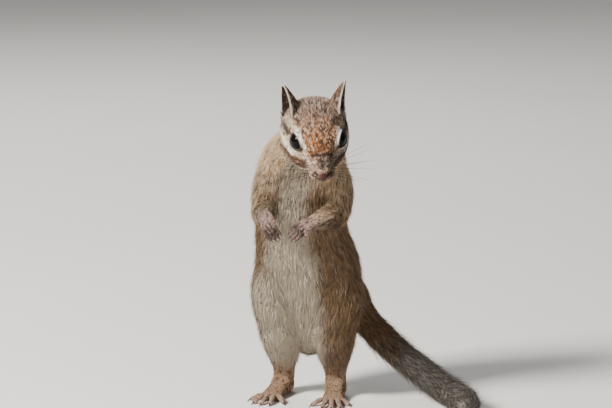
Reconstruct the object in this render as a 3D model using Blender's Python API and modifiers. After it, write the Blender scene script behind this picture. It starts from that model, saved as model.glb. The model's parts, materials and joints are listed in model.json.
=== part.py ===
"""A life-size Siberian chipmunk that stands on its hind feet and looks at the viewer.

It is modelled as a mounted museum animal: outer solids that reach to the tips of the coat.
+Z is up, -Y is the way that the viewer stands, and the animal's own left is at +X.
Sizes are in metres, written as millimetres times MM. The floor is z = 0.
"""

import math
import random

import bmesh
import bpy
import numpy as np
from mathutils import Matrix, Vector

MM = 0.001

# Driving dimensions
GAP = 0.3 * MM  # left between two neighbouring solids
EYE_RADIUS = 4.1 * MM
LID_THICKNESS = 0.6 * MM
LID_RIM = 0.6 * MM
EYE_OPENING = (7.6 * MM, 6.0 * MM)  # long and short way across the lids
EAR_HEIGHT = 21.6 * MM
EAR_THICKNESS = 1.0 * MM
CLAW_LENGTH = 2.6 * MM
LOCK_SEED = 7

# The head: where the nose tip is, and the way that the face points
NOSE_TIP = Vector((7.3, -32.0, 102.9)) * MM
HEAD_YAW = math.radians(8.5)
HEAD_PITCH = math.radians(30.0)
HEAD_ROLL = math.radians(3.0)

# The turn of the chest and the pelvis towards -X, seen from above
NECK_YAW = 2.0
CHEST_YAW = 15.0
PELVIS_YAW = 24.0

FUR_BROWN = (0.36, 0.24, 0.14)
FUR_CREAM = (0.72, 0.64, 0.52)
FUR_TAIL = (0.30, 0.25, 0.20)
SKIN_PINK = (0.58, 0.40, 0.33)
EYE_BLACK = (0.012, 0.010, 0.010)


def empty_the_scene():
    """Removes what the scene starts with."""
    for thing in list(bpy.data.objects):
        bpy.data.objects.remove(thing, do_unlink=True)
    for mesh in list(bpy.data.meshes):
        bpy.data.meshes.remove(mesh)


def new_collection(name, shown=True):
    """A collection for the animal's parts or for the cutters."""
    made = bpy.data.collections.new(name)
    made.hide_render = not shown
    bpy.context.scene.collection.children.link(made)
    return made


def material(name, colour, roughness):
    """A plain finish with a base colour and a roughness."""
    made = bpy.data.materials.new(name)
    made.use_nodes = True
    shader = made.node_tree.nodes["Principled BSDF"]
    shader.inputs["Base Color"].default_value = (*colour, 1.0)
    shader.inputs["Roughness"].default_value = roughness
    return made


def add_object(name, bm, collection, finish=None):
    """Turns a bmesh into a named object with its faces pointing out."""
    bmesh.ops.remove_doubles(bm, verts=bm.verts, dist=0.002 * MM)
    bmesh.ops.recalc_face_normals(bm, faces=bm.faces)
    mesh = bpy.data.meshes.new(name)
    bm.to_mesh(mesh)
    bm.free()
    made = bpy.data.objects.new(name, mesh)
    collection.objects.link(made)
    if finish:
        mesh.materials.append(finish)
    mesh.shade_smooth()
    mesh.set_sharp_from_angle(angle=math.radians(50))
    return made


def through(keys, count):
    """Rows spread evenly along a smooth curve through the key rows, whose first three columns are a place."""
    keys = np.array(keys, float)
    steps = np.linalg.norm(np.diff(keys[:, :3], axis=0), axis=1)
    at = np.concatenate([[0.0], np.cumsum(steps)])
    slopes = np.gradient(keys, at, axis=0)
    wanted = np.linspace(0.0, at[-1], count)
    rows = []
    for place in wanted:
        i = min(int(np.searchsorted(at, place, side="right")) - 1, len(keys) - 2)
        span = at[i + 1] - at[i]
        t = (place - at[i]) / span
        rows.append(
            keys[i] * (2 * t**3 - 3 * t**2 + 1)
            + slopes[i] * span * (t**3 - 2 * t**2 + t)
            + keys[i + 1] * (3 * t**2 - 2 * t**3)
            + slopes[i + 1] * span * (t**3 - t**2)
        )
    return np.array(rows)


def facing(yaw_degrees):
    """The level direction that a body part faces when it is turned from -Y towards -X."""
    yaw = math.radians(yaw_degrees)
    return Vector((-math.sin(yaw), -math.cos(yaw), 0.0))


class Ring:
    """One cross-section of a body part."""

    def __init__(self, centre, along, front, wide, fore, aft, power=2.0):
        self.centre = Vector(centre)
        self.along = Vector(along).normalized()
        front = Vector(front)
        self.front = (front - self.along * front.dot(self.along)).normalized()
        self.side = self.along.cross(self.front)
        self.wide, self.fore, self.aft, self.power = wide, fore, aft, power

    def scaled(self, share, moved):
        """The same ring at a share of its size, moved along the part."""
        return Ring(
            self.centre + self.along * moved, self.along, self.front,
            self.wide * share, self.fore * share, self.aft * share, self.power,
        )

    def points(self, around):
        """The ring's points, anticlockwise from its left side."""
        made = []
        for i in range(around):
            turn = 2 * math.pi * i / around
            c, s = math.cos(turn), math.sin(turn)
            across = math.copysign(abs(c) ** (2 / self.power), c) * self.wide
            up = math.copysign(abs(s) ** (2 / self.power), s)
            up *= self.fore if s > 0 else self.aft
            made.append(self.centre + self.side * across + self.front * up)
        return made


def rings_along(keys, count, fronts, power=2.0):
    """Rings on a smooth curve. A key row is x, y, z, half width, reach to the front, reach to the back, in mm.

    fronts is one front direction, or a function of the share of the way along."""
    rows = through(keys, count) * MM
    tangents = np.gradient(rows[:, :3], axis=0)
    rings = []
    for i, row in enumerate(rows):
        front = fronts(i / (count - 1)) if callable(fronts) else fronts
        rings.append(Ring(row[:3], tangents[i], front, row[3], row[4], row[5], power))
    return rings


def round_end(ring, depth, outwards, steps):
    """Rings that close a part with a dome, from the ring towards the pole."""
    made = []
    for i in range(1, steps + 1):
        turn = 0.5 * math.pi * i / (steps + 0.35)
        made.append(ring.scaled(math.cos(turn), outwards * depth * math.sin(turn)))
    return made


def loft(bm, rings, around):
    """Joins rings into a closed surface with flat or nearly closed ends."""
    loops = [[bm.verts.new(p) for p in ring.points(around)] for ring in rings]
    for low, high in zip(loops, loops[1:]):
        for i in range(around):
            j = (i + 1) % around
            bm.faces.new((low[i], low[j], high[j], high[i]))
    for loop, flip in ((loops[0], True), (loops[-1], False)):
        centre = sum((v.co for v in loop), Vector()) / around
        pole = bm.verts.new(centre)
        for i in range(around):
            j = (i + 1) % around
            bm.faces.new((loop[j], loop[i], pole) if flip else (loop[i], loop[j], pole))
    return bm


def domed(rings, start_depth, end_depth, steps=3):
    """A part's rings with a dome at each end that has a depth."""
    first = round_end(rings[0], start_depth, -1, steps)[::-1] if start_depth else []
    last = round_end(rings[-1], end_depth, 1, steps) if end_depth else []
    return first + rings + last


def ball(bm, centre, radii, axes=None, segments=16, rings=10):
    """An ellipsoid, with its axes along the columns of a rotation."""
    made = bmesh.ops.create_uvsphere(bm, u_segments=segments, v_segments=rings, radius=1.0)
    turn = (axes or Matrix.Identity(3)).to_4x4()
    place = Matrix.Translation(centre) @ turn @ Matrix.Diagonal((*radii, 1.0))
    bmesh.ops.transform(bm, matrix=place, verts=made["verts"])
    return made["verts"]


def apply_boolean(target, operation, other=None, group=None, solver="EXACT"):
    """Cuts or joins, and keeps the result as the target's own mesh."""
    cut = target.modifiers.new("join", "BOOLEAN")
    cut.operation = operation
    cut.solver = solver
    if group:
        cut.operand_type = "COLLECTION"
        cut.collection = group
    else:
        cut.object = other
    graph = bpy.context.evaluated_depsgraph_get()
    result = bpy.data.meshes.new_from_object(target.evaluated_get(graph))
    target.modifiers.remove(cut)
    old = target.data
    name = old.name
    target.data = result
    bpy.data.meshes.remove(old)
    result.name = name


def keep_largest(target):
    """Drops every closed surface of the object but the one with the most volume."""
    bm = bmesh.new()
    bm.from_mesh(target.data)
    bmesh.ops.remove_doubles(bm, verts=bm.verts, dist=0.002 * MM)
    bm.faces.ensure_lookup_table()
    unseen, shells = set(bm.faces), []
    while unseen:
        todo, shell = [unseen.pop()], []
        while todo:
            face = todo.pop()
            shell.append(face)
            for edge in face.edges:
                for near in edge.link_faces:
                    if near in unseen:
                        unseen.remove(near)
                        todo.append(near)
        volume = 0.0
        for face in shell:
            first = face.verts[0].co
            for a, b in zip(face.verts[1:], face.verts[2:]):
                volume += first.dot(a.co.cross(b.co)) / 6
        shells.append((volume, shell))
    shells.sort(key=lambda pair: -pair[0])
    for _, shell in shells[1:]:
        bmesh.ops.delete(bm, geom=shell, context="FACES")
    bm.to_mesh(target.data)
    bm.free()


def union_all(target, pieces, joining, solver="EXACT"):
    """Joins a list of closed objects to the target and removes them."""
    for piece in pieces:
        for home in list(piece.users_collection):
            home.objects.unlink(piece)
        joining.objects.link(piece)
    apply_boolean(target, "UNION", group=joining, solver=solver)
    for piece in pieces:
        bpy.data.objects.remove(piece, do_unlink=True)
    keep_largest(target)


def grown_copy(source, collection, by=GAP):
    """A cutter of the source's shape, larger by the gap on every side."""
    made = bpy.data.objects.new(source.name + "_grown", source.data.copy())
    collection.objects.link(made)
    made.hide_render = True
    made.display_type = "WIRE"
    normals = [v.normal.copy() for v in made.data.vertices]
    for vertex, normal in zip(made.data.vertices, normals):
        vertex.co += normal * by
    return made


class Chipmunk:
    """Builds the animal's solids one sub-part at a time."""

    def __init__(self):
        self.parts = new_collection("chipmunk")
        self.cutters = new_collection("cutters", shown=False)
        self.joining = new_collection("cutters_joining", shown=False)
        self.fur = material("brown_fur", FUR_BROWN, 0.8)
        self.cream = material("cream_fur", FUR_CREAM, 0.8)
        self.tail_fur = material("tail_fur", FUR_TAIL, 0.8)
        self.skin = material("bare_skin", SKIN_PINK, 0.5)
        self.eye_black = material("eye", EYE_BLACK, 0.05)
        forward = Vector((
            math.sin(HEAD_YAW) * math.cos(HEAD_PITCH),
            -math.cos(HEAD_YAW) * math.cos(HEAD_PITCH),
            -math.sin(HEAD_PITCH),
        ))
        left = Vector((math.cos(HEAD_YAW), math.sin(HEAD_YAW), 0.0))
        roll = Matrix.Rotation(HEAD_ROLL, 3, forward)
        self.forward = forward
        self.left = roll @ left
        self.up = self.forward.cross(self.left)

    def in_head(self, back, left, up):
        """A place given in mm behind the nose tip, to the animal's left and upwards in the head's own frame."""
        return NOSE_TIP - self.forward * back * MM + self.left * left * MM + self.up * up * MM

    def head_axes(self):
        """The head's own frame: forwards, left, up."""
        return Matrix((self.forward, self.left, self.up)).transposed()

    def cutter(self, name, bm):
        """A hidden object that cuts others."""
        made = add_object(name, bm, self.cutters)
        made.hide_render = True
        made.display_type = "WIRE"
        return made

    def remove(self, *things):
        """Removes cutters that have done their work."""
        for thing in things:
            bpy.data.objects.remove(thing, do_unlink=True)

    # Trunk

    TRUNK = (
        (1.5, 9.0, 22.5, 9.0, 7.0, 7.5),
        (1.6, 9.0, 26.0, 14.2, 11.5, 12.5),
        (2.2, 9.0, 33.0, 18.6, 15.2, 16.8),
        (2.5, 8.6, 43.0, 22.0, 17.6, 19.0),
        (0.9, 7.6, 56.0, 23.4, 18.2, 19.0),
        (-1.7, 6.6, 68.0, 21.1, 17.4, 18.4),
        (-2.4, 6.0, 80.0, 20.3, 16.4, 17.8),
        (-2.0, 5.4, 91.0, 20.9, 15.6, 17.0),
        (-0.7, 4.0, 101.0, 20.1, 14.6, 15.8),
        (1.6, 1.2, 109.0, 16.2, 13.4, 14.2),
        (2.5, -3.2, 115.5, 12.8, 12.0, 12.6),
        (2.8, -7.6, 119.5, 10.6, 10.0, 10.0),
    )
    TRUNK_RINGS = 25
    TRUNK_AROUND = 24
    TRUNK_CUTS = (("rump", 0, 7), ("belly", 7, 13), ("chest", 13, 19), ("neck", 19, 25))

    def trunk_front(self, share):
        """The twist of the trunk from the pelvis to the neck."""
        turns = np.interp(share, (0.0, 0.3, 0.75, 1.0), (PELVIS_YAW, PELVIS_YAW - 2, CHEST_YAW, NECK_YAW))
        return facing(float(turns))

    def build_trunk(self):
        """The whole trunk as a cutter for the limbs, and its four lengths with a gap between them."""
        rings = rings_along(self.TRUNK, self.TRUNK_RINGS, self.trunk_front, power=2.15)
        whole = loft(bmesh.new(), domed(rings, 4.0 * MM, 4.0 * MM), self.TRUNK_AROUND)
        self.trunk = self.cutter("trunk", whole)
        for name, first, last in self.TRUNK_CUTS:
            own = rings[first:last + 1] if last < len(rings) else rings[first:]
            if first:
                own[0] = own[0].scaled(1.0, GAP)
            if name == "rump":
                own = domed(own, 4.0 * MM, 0)
            if name == "neck":
                own = domed(own, 0, 4.0 * MM)
            finish = self.cream if name == "belly" else self.fur
            add_object(name, loft(bmesh.new(), own, self.TRUNK_AROUND), self.parts, finish)

    # Head

    # Behind the nose, left, up, then half width, reach upwards and reach downwards.
    HEAD = (
        (0.6, 0.0, -0.4, 2.3, 1.6, 2.6),
        (2.2, 0.0, -0.1, 3.2, 2.8, 4.8),
        (4.6, 0.0, 0.0, 4.0, 4.2, 6.6),
        (7.5, 0.0, 0.0, 5.0, 5.6, 7.9),
        (11.0, 0.0, 0.0, 7.6, 8.4, 9.1),
        (15.0, 0.0, 0.0, 10.8, 11.0, 10.3),
        (19.0, 0.0, 0.0, 12.9, 12.9, 11.4),
        (24.0, 0.0, 0.0, 14.3, 14.3, 12.4),
        (29.0, 0.0, 0.0, 14.6, 15.0, 12.8),
        (34.0, 0.0, 0.0, 14.0, 15.0, 12.6),
        (38.5, 0.0, -1.2, 12.0, 13.2, 11.0),
        (42.0, 0.0, -2.5, 8.8, 9.8, 8.4),
    )
    HEAD_RINGS = 16
    LID_STEPS = 16
    HEAD_AROUND = 26
    EYE_PLACE = (17.4, 7.6, 5.0)
    EYE_LOOK = Vector((0.46, 0.84, 0.28))

    def head_rings(self):
        """The rings of the head, from the nose to the nape."""
        keys = np.array(self.HEAD, float)
        rows = through(keys, self.HEAD_RINGS)
        rings = []
        for back, left, up, wide, over, under in rows:
            rings.append(Ring(
                self.in_head(back, left, up), -self.forward, self.up,
                wide * MM, over * MM, under * MM, 2.15,
            ))
        return domed(rings, 1.2 * MM, 3.0 * MM)

    def eye_centre(self, side):
        """The middle of an eyeball. side is 1 for the left and -1 for the right."""
        back, left, up = self.EYE_PLACE
        return self.in_head(back, side * left, up)

    def eye_axes(self, side):
        """The eye's frame: along the lids, across them, and the way that it looks."""
        look = self.head_axes() @ Vector((self.EYE_LOOK.x, side * self.EYE_LOOK.y, self.EYE_LOOK.z))
        look.normalize()
        along = self.forward - self.up * 0.30
        along = (along - look * along.dot(look)).normalized()
        return Matrix((along, look.cross(along), look)).transposed()

    def build_head(self):
        """The head with lips, nose, lids and sockets, and the lower jaw parted from it along the mouth."""
        head = add_object("head", loft(bmesh.new(), self.head_rings(), self.HEAD_AROUND), self.parts, self.fur)
        axes = self.head_axes()
        lumps = (
            ("lip_left", (4.7, 1.9, -2.0), (4.4, 2.6, 3.1)),
            ("lip_right", (4.7, -1.9, -2.0), (4.4, 2.6, 3.1)),
            ("nose_pad", (0.6, 0.0, -0.8), (1.8, 2.3, 1.6)),
        )
        pieces = []
        for name, place, radii in lumps:
            bm = bmesh.new()
            ball(bm, self.in_head(*place), [r * MM for r in radii], axes, 14, 9)
            pieces.append(add_object(name, bm, self.parts))
        for side in (1, -1):
            bm = bmesh.new()
            radius = EYE_RADIUS + GAP + LID_THICKNESS
            radii = (radius * 1.34, radius * 1.24, radius * 0.95)
            ball(bm, self.eye_centre(side), radii, self.eye_axes(side), 14, 9)
            pieces.append(add_object("lid_mound", bm, self.parts))
            pieces.append(self.lid_rim(side))
        union_all(head, pieces, self.joining)
        for side in (1, -1):
            self.cut_eye(head, side)
            self.cut_nostril(head, side)
            self.hollow_ear(head, side)
        self.part_jaw(head)
        self.head_grown = grown_copy(head, self.cutters)

    def almond_outline(self, count, wider=0.0):
        """Points round the opening between the lids, as lengths along and across it."""
        made = []
        for i in range(count):
            turn = 2 * math.pi * i / count
            along = math.cos(turn) * (EYE_OPENING[0] / 2 + wider)
            across = math.sin(turn) * abs(math.sin(turn)) ** 0.35 * (EYE_OPENING[1] / 2 + wider)
            made.append((along, across))
        return made

    def lid_rim(self, side):
        """A rounded rim along both lids, which lies on the eyeball."""
        axes, centre = self.eye_axes(side), self.eye_centre(side)
        reach = EYE_RADIUS + GAP + 0.2 * MM
        outline = []
        for along, across in self.almond_outline(self.LID_STEPS, wider=LID_RIM * 0.55):
            out = math.sqrt(max(reach ** 2 - along ** 2 - across ** 2, 0.0))
            outline.append(centre + axes @ Vector((along, across, out)))
        bm = bmesh.new()
        loops = []
        for i, place in enumerate(outline):
            ahead = outline[(i + 1) % self.LID_STEPS] - outline[i - 1]
            ring = Ring(place, ahead, place - centre, LID_RIM, LID_RIM, LID_RIM)
            loops.append([bm.verts.new(p) for p in ring.points(5)])
        for low, high in zip(loops, loops[1:] + loops[:1]):
            for j in range(5):
                k = (j + 1) % 5
                bm.faces.new((low[j], low[k], high[k], high[j]))
        return add_object("lid_rim", bm, self.parts)

    def cut_eye(self, head, side):
        """Opens the socket and the almond between the lids."""
        axes = self.eye_axes(side)
        centre = self.eye_centre(side)
        bm = bmesh.new()
        ball(bm, centre, [EYE_RADIUS + GAP] * 3, axes, 14, 9)
        socket = self.cutter("socket", bm)
        bm = bmesh.new()
        rim = [Vector((along, across, 0.5 * MM)) for along, across in self.almond_outline(self.LID_STEPS)]
        low = [bm.verts.new(centre + axes @ p) for p in rim]
        high = [bm.verts.new(centre + axes @ (p + Vector((0, 0, 7.5 * MM)))) for p in rim]
        bm.faces.new(low[::-1])
        bm.faces.new(high)
        for i in range(self.LID_STEPS):
            j = (i + 1) % self.LID_STEPS
            bm.faces.new((low[i], low[j], high[j], high[i]))
        almond = self.cutter("almond", bm)
        apply_boolean(head, "DIFFERENCE", socket)
        apply_boolean(head, "DIFFERENCE", almond)
        keep_largest(head)
        self.remove(socket, almond)

    def cut_nostril(self, head, side):
        """Opens a nostril at the side of the nose pad."""
        bm = bmesh.new()
        place = self.in_head(-0.3, side * 1.5, -0.8)
        ball(bm, place, (1.5 * MM, 0.55 * MM, 0.75 * MM), self.head_axes(), 10, 7)
        nostril = self.cutter("nostril", bm)
        apply_boolean(head, "DIFFERENCE", nostril)
        self.remove(nostril)

    def jaw_block(self, name, grow):
        """Half an ellipsoid under the line of the mouth."""
        bm = bmesh.new()
        verts = bmesh.ops.create_uvsphere(bm, u_segments=20, v_segments=8, radius=1.0)["verts"]
        lift = 0.35
        for v in verts:
            x, y, z = v.co
            long = (6.5 if x > 0 else 13.0) + grow
            high = 0.0 if z > 0 else z
            bend = lift * (x * 3.0) - 0.5 * (1 - y * y)
            v.co = (x * long, y * (7.4 + grow), high * (11.0 + grow) + bend + grow)
        place = Matrix.Translation(self.in_head(5.6, 0.0, -3.9)) @ self.head_axes().to_4x4()
        bmesh.ops.transform(bm, matrix=place @ Matrix.Scale(MM, 4), verts=verts)
        return self.cutter(name, bm)

    def part_jaw(self, head):
        """Parts the lower jaw from the head along the line of the mouth."""
        jaw = bpy.data.objects.new("lower_jaw", head.data.copy())
        self.parts.objects.link(jaw)
        jaw.data.materials.clear()
        jaw.data.materials.append(self.cream)
        inner = self.jaw_block("jaw_inner", 0.0)
        outer = self.jaw_block("jaw_outer", GAP / MM)
        apply_boolean(jaw, "INTERSECT", inner)
        apply_boolean(head, "DIFFERENCE", outer)
        keep_largest(jaw)
        keep_largest(head)
        self.remove(inner, outer)

    def build_eyes(self):
        """The two eyeballs, a gap inside their sockets."""
        for side, name in ((1, "eye_left"), (-1, "eye_right")):
            bm = bmesh.new()
            ball(bm, self.eye_centre(side), [EYE_RADIUS] * 3, self.eye_axes(side), 14, 9)
            add_object(name, bm, self.parts, self.eye_black)

    # Share of the height, width of the opening, depth of the cup.
    EAR_SHAPE = (
        (0.00, 2.4, 5.0),
        (0.10, 5.6, 6.6),
        (0.22, 8.4, 7.2),
        (0.38, 9.7, 6.2),
        (0.56, 9.0, 4.7),
        (0.74, 7.2, 3.1),
        (0.88, 4.6, 1.8),
        (0.96, 2.6, 0.9),
        (1.00, 1.0, 0.4),
    )
    EAR_ROOT = (28.8, 11.3, 1.9)
    EAR_LEAN = Vector((-0.25, 0.095, 0.965))
    EAR_BOW = 0.9 * MM  # how far the middle of the cup stands inside the line from root to tip
    EAR_ARC = math.radians(104)  # how far the cup's wall reaches round to each side
    EAR_OPENING = Vector((0.34, 0.94, 0.10))
    EAR_ROWS = 12
    EAR_COLUMNS = 9

    def ear_axes(self, side):
        """The ear's frame: across the opening, out of it, and towards the tip."""
        axes = self.head_axes()
        mirror = Vector((1, side, 1))
        tip = (axes @ (self.EAR_LEAN * mirror)).normalized()
        mouth = axes @ (self.EAR_OPENING * mirror)
        mouth = (mouth - tip * mouth.dot(tip)).normalized()
        return Matrix((mouth.cross(tip), mouth, tip)).transposed()

    def build_ear(self, side):
        """An ear as a cup that opens to the side and a little forwards, and narrows to a blunt tip."""
        name = "ear_left" if side > 0 else "ear_right"
        axes = self.ear_axes(side)
        back, left, up = self.EAR_ROOT
        root = self.in_head(back, side * left, up)
        shape = np.array(self.EAR_SHAPE)
        bm = bmesh.new()
        grid = []
        for i in range(self.EAR_ROWS):
            t = 1 - (1 - i / (self.EAR_ROWS - 1)) ** 1.25
            width = float(np.interp(t, shape[:, 0], shape[:, 1])) * MM
            depth = float(np.interp(t, shape[:, 0], shape[:, 2])) * MM
            row = []
            for j in range(self.EAR_COLUMNS):
                turn = self.EAR_ARC * (2 * j / (self.EAR_COLUMNS - 1) - 1)
                inwards = depth * max(math.cos(turn), -0.12) + self.EAR_BOW * math.sin(math.pi * t)
                place = Vector((width / 2 * math.sin(turn), -inwards, EAR_HEIGHT * t))
                row.append(bm.verts.new(root + axes @ place))
            grid.append(row)
        for low, high in zip(grid, grid[1:]):
            for j in range(self.EAR_COLUMNS - 1):
                bm.faces.new((low[j], low[j + 1], high[j + 1], high[j]))
        ear = add_object(name, bm, self.parts, self.fur)
        wall = ear.modifiers.new("wall", "SOLIDIFY")
        wall.thickness = EAR_THICKNESS
        wall.offset = 0.0
        wall.use_even_offset = True
        graph = bpy.context.evaluated_depsgraph_get()
        mesh = bpy.data.meshes.new_from_object(ear.evaluated_get(graph))
        ear.modifiers.clear()
        ear.data = mesh
        apply_boolean(ear, "DIFFERENCE", self.head_grown)
        keep_largest(ear)

    def hollow_ear(self, head, side):
        """Sinks the floor of the ear's cup into the head."""
        bm = bmesh.new()
        axes = self.ear_axes(side)
        back, left, up = self.EAR_ROOT
        centre = self.in_head(back, side * left, up) + axes @ (Vector((0.0, -0.6, 7.6)) * MM)
        ball(bm, centre, (3.3 * MM, 3.6 * MM, 4.6 * MM), axes, 12, 8)
        hollow = self.cutter("hollow", bm)
        apply_boolean(head, "DIFFERENCE", hollow)
        self.remove(hollow)

    # Limbs

    def limb(self, name, keys, count, front, around, ends, finish=None, trims=()):
        """One length of a limb, trimmed clear of what it grows from."""
        rings = domed(rings_along(keys, count, front), ends[0] * MM, ends[1] * MM, 2)
        made = add_object(name, loft(bmesh.new(), rings, around), self.parts, finish or self.fur)
        for trim in trims:
            apply_boolean(made, "DIFFERENCE", trim)
        keep_largest(made)
        return made

    def build_arms(self):
        """Upper arm, forearm and paw on each side, the forearms held before the chest."""
        arms = {
            "right": {
                "upper": (
                    (-15.2, 2.0, 98.0, 6.8, 8.5, 8.5),
                    (-17.2, -0.5, 90.0, 6.7, 8.2, 8.0),
                    (-18.4, -3.0, 82.5, 5.6, 6.6, 6.6),
                ),
                "fore": (
                    (-18.4, -3.4, 82.0, 5.2, 5.4, 5.8),
                    (-18.0, -11.5, 82.2, 4.6, 4.8, 4.8),
                    (-17.0, -20.0, 83.6, 3.1, 3.2, 3.2),
                ),
                "palm": (
                    (-16.8, -20.9, 83.4, 2.9, 2.4, 2.4),
                    (-16.0, -23.6, 81.0, 3.6, 2.2, 2.2),
                    (-15.2, -25.2, 78.2, 3.5, 1.9, 1.9),
                ),
                "tips": (-12.6, -26.4, 75.0),
                "back_of_hand": (-0.35, -0.85, 0.35),
            },
            "left": {
                "upper": (
                    (13.4, -1.0, 97.0, 6.7, 8.5, 8.5),
                    (14.2, -4.0, 89.0, 6.6, 8.2, 8.0),
                    (14.0, -7.5, 81.5, 5.6, 6.8, 6.8),
                ),
                "fore": (
                    (13.6, -7.9, 81.0, 5.2, 5.6, 5.8),
                    (8.6, -16.0, 81.6, 4.6, 4.8, 4.8),
                    (2.6, -23.0, 80.8, 3.1, 3.2, 3.2),
                ),
                "palm": (
                    (1.7, -23.7, 80.6, 2.9, 2.4, 2.4),
                    (-0.8, -25.6, 79.6, 3.6, 2.2, 2.2),
                    (-3.2, -26.9, 78.2, 3.5, 1.9, 1.9),
                ),
                "tips": (-5.9, -28.2, 76.0),
                "back_of_hand": (0.10, -0.72, 0.68),
            },
        }
        trunk = grown_copy(self.trunk, self.cutters)
        for side, arm in arms.items():
            fore = self.limb(
                f"forearm_{side}", arm["fore"], 6, Vector((0, 0, 1)), 14, (3.0, 1.5),
                trims=(trunk,),
            )
            fore_grown = grown_copy(fore, self.cutters)
            self.limb(
                f"upper_arm_{side}", arm["upper"], 6, Vector((0, -1, 0)), 15, (5.0, 4.5),
                trims=(trunk, self.head_grown, fore_grown),
            )
            self.paw(f"forepaw_{side}", arm, fore_grown)
            self.remove(fore_grown)
        self.trunk_grown = trunk

    def paw(self, name, arm, forearm):
        """A forepaw: a palm with four bent fingers, a thumb stub and claws, as one body."""
        back = Vector(arm["back_of_hand"]).normalized()
        palm_rows = np.array(arm["palm"], float)
        rings = domed(rings_along(palm_rows, 5, back, 2.4), 1.6 * MM, 1.4 * MM, 2)
        palm = add_object(name, loft(bmesh.new(), rings, 12), self.parts, self.skin)
        knuckles = Vector(palm_rows[-1][:3]) * MM
        tip = Vector(arm["tips"]) * MM
        along = (tip - knuckles).normalized()
        across = along.cross(back).normalized()
        spread = (-1.5, -0.5, 0.5, 1.5)
        reach = (0.80, 1.0, 0.96, 0.74)
        pieces = []
        for place, share in zip(spread, reach):
            start = knuckles + across * place * 1.7 * MM - along * 1.2 * MM
            end = knuckles + across * place * 1.55 * MM + (tip - knuckles) * share
            middle = (start + end) / 2 + back * 0.8 * MM
            pieces += self.digit(start, middle, end, 0.95 * MM, back, CLAW_LENGTH * 0.65, claw_drop=0.8)
        start = knuckles - across * 3.0 * MM - along * 3.0 * MM
        end = start + along * 2.6 * MM - across * 1.0 * MM
        pieces += self.digit(start, (start + end) / 2, end, 0.8 * MM, back, claw=0.0)
        union_all(palm, pieces, self.joining)
        apply_boolean(palm, "DIFFERENCE", forearm)
        keep_largest(palm)

    def digit(self, start, middle, end, radius, back, claw, claw_drop=0.5):
        """A finger or toe and its claw, as closed objects to be joined to the palm."""
        keys = []
        for place, size in ((start, 1.0), (middle, 0.95), (end, 0.88)):
            keys.append((*(place / MM), *[radius / MM * size] * 3))
        rings = rings_along(keys, 3, back)
        rings += round_end(rings[-1], radius * 0.9, 1, 2)
        made = [add_object("digit", loft(bmesh.new(), rings, 6), self.parts)]
        if claw:
            ahead = (end - middle).normalized()
            base = end + back * radius * 0.25
            keys = []
            for i, share in enumerate((0.0, 0.5, 1.0)):
                place = base + ahead * claw * share * 1.25 - back * claw * claw_drop * share * share
                size = radius * (0.52, 0.40, 0.10)[i] / MM
                keys.append((*(place / MM), size * 0.8, size, size))
            rings = rings_along(keys, 3, back)
            made.append(add_object("claw", loft(bmesh.new(), rings, 4), self.parts))
        return made

    def build_legs(self):
        """Thigh, shank and hind foot on each side, with the soles on the floor."""
        legs = {
            "right": {
                "thigh": (
                    (-12.4, 10.5, 56.0, 9.6, 12.0, 13.0),
                    (-13.0, 6.5, 45.0, 10.2, 15.0, 15.0),
                    (-12.4, 2.5, 34.0, 9.2, 12.5, 12.5),
                ),
                "shank": (
                    (-12.0, 1.5, 31.0, 8.7, 10.0, 10.0),
                    (-10.8, 6.0, 21.5, 7.2, 8.0, 8.0),
                    (-9.4, 10.5, 11.5, 5.3, 5.4, 5.4),
                ),
                "heel": (-8.6, 12.5), "toes": (-18.5, -14.5), "yaw": PELVIS_YAW,
            },
            "left": {
                "thigh": (
                    (12.6, 5.0, 55.0, 9.0, 12.0, 13.0),
                    (14.8, 1.0, 44.0, 10.8, 15.0, 15.0),
                    (12.8, -3.0, 34.0, 10.0, 13.0, 13.0),
                ),
                "shank": (
                    (12.4, -3.8, 31.0, 9.7, 10.5, 10.5),
                    (12.7, 0.5, 21.5, 7.9, 8.4, 8.4),
                    (12.8, 4.5, 11.5, 5.5, 5.6, 5.6),
                ),
                "heel": (13.2, 7.0), "toes": (10.6, -22.0), "yaw": 4.0,
            },
        }
        floor = self.floor_block()
        for side, leg in legs.items():
            ahead = facing(leg["yaw"])
            thigh = self.limb(
                f"thigh_{side}", leg["thigh"], 7, ahead, 20, (6.5, 5.0),
                trims=(self.trunk_grown,),
            )
            thigh_grown = grown_copy(thigh, self.cutters)
            shank = self.limb(
                f"shank_{side}", leg["shank"], 6, ahead, 15, (3.5, 3.0),
                trims=(self.trunk_grown, thigh_grown),
            )
            shank_grown = grown_copy(shank, self.cutters)
            self.hind_foot(f"hind_foot_{side}", leg, shank_grown, floor, 1 if side == "left" else -1)
            self.remove(thigh_grown, shank_grown)
        self.floor = floor

    def floor_block(self):
        """A block whose top is the floor, for cutting flats."""
        bm = bmesh.new()
        bmesh.ops.create_cube(bm, size=1.0)
        place = Matrix.Translation((0.02, 0, -0.01)) @ Matrix.Diagonal((0.4, 0.4, 0.02, 1.0))
        bmesh.ops.transform(bm, matrix=place, verts=bm.verts)
        return self.cutter("floor", bm)

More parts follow.
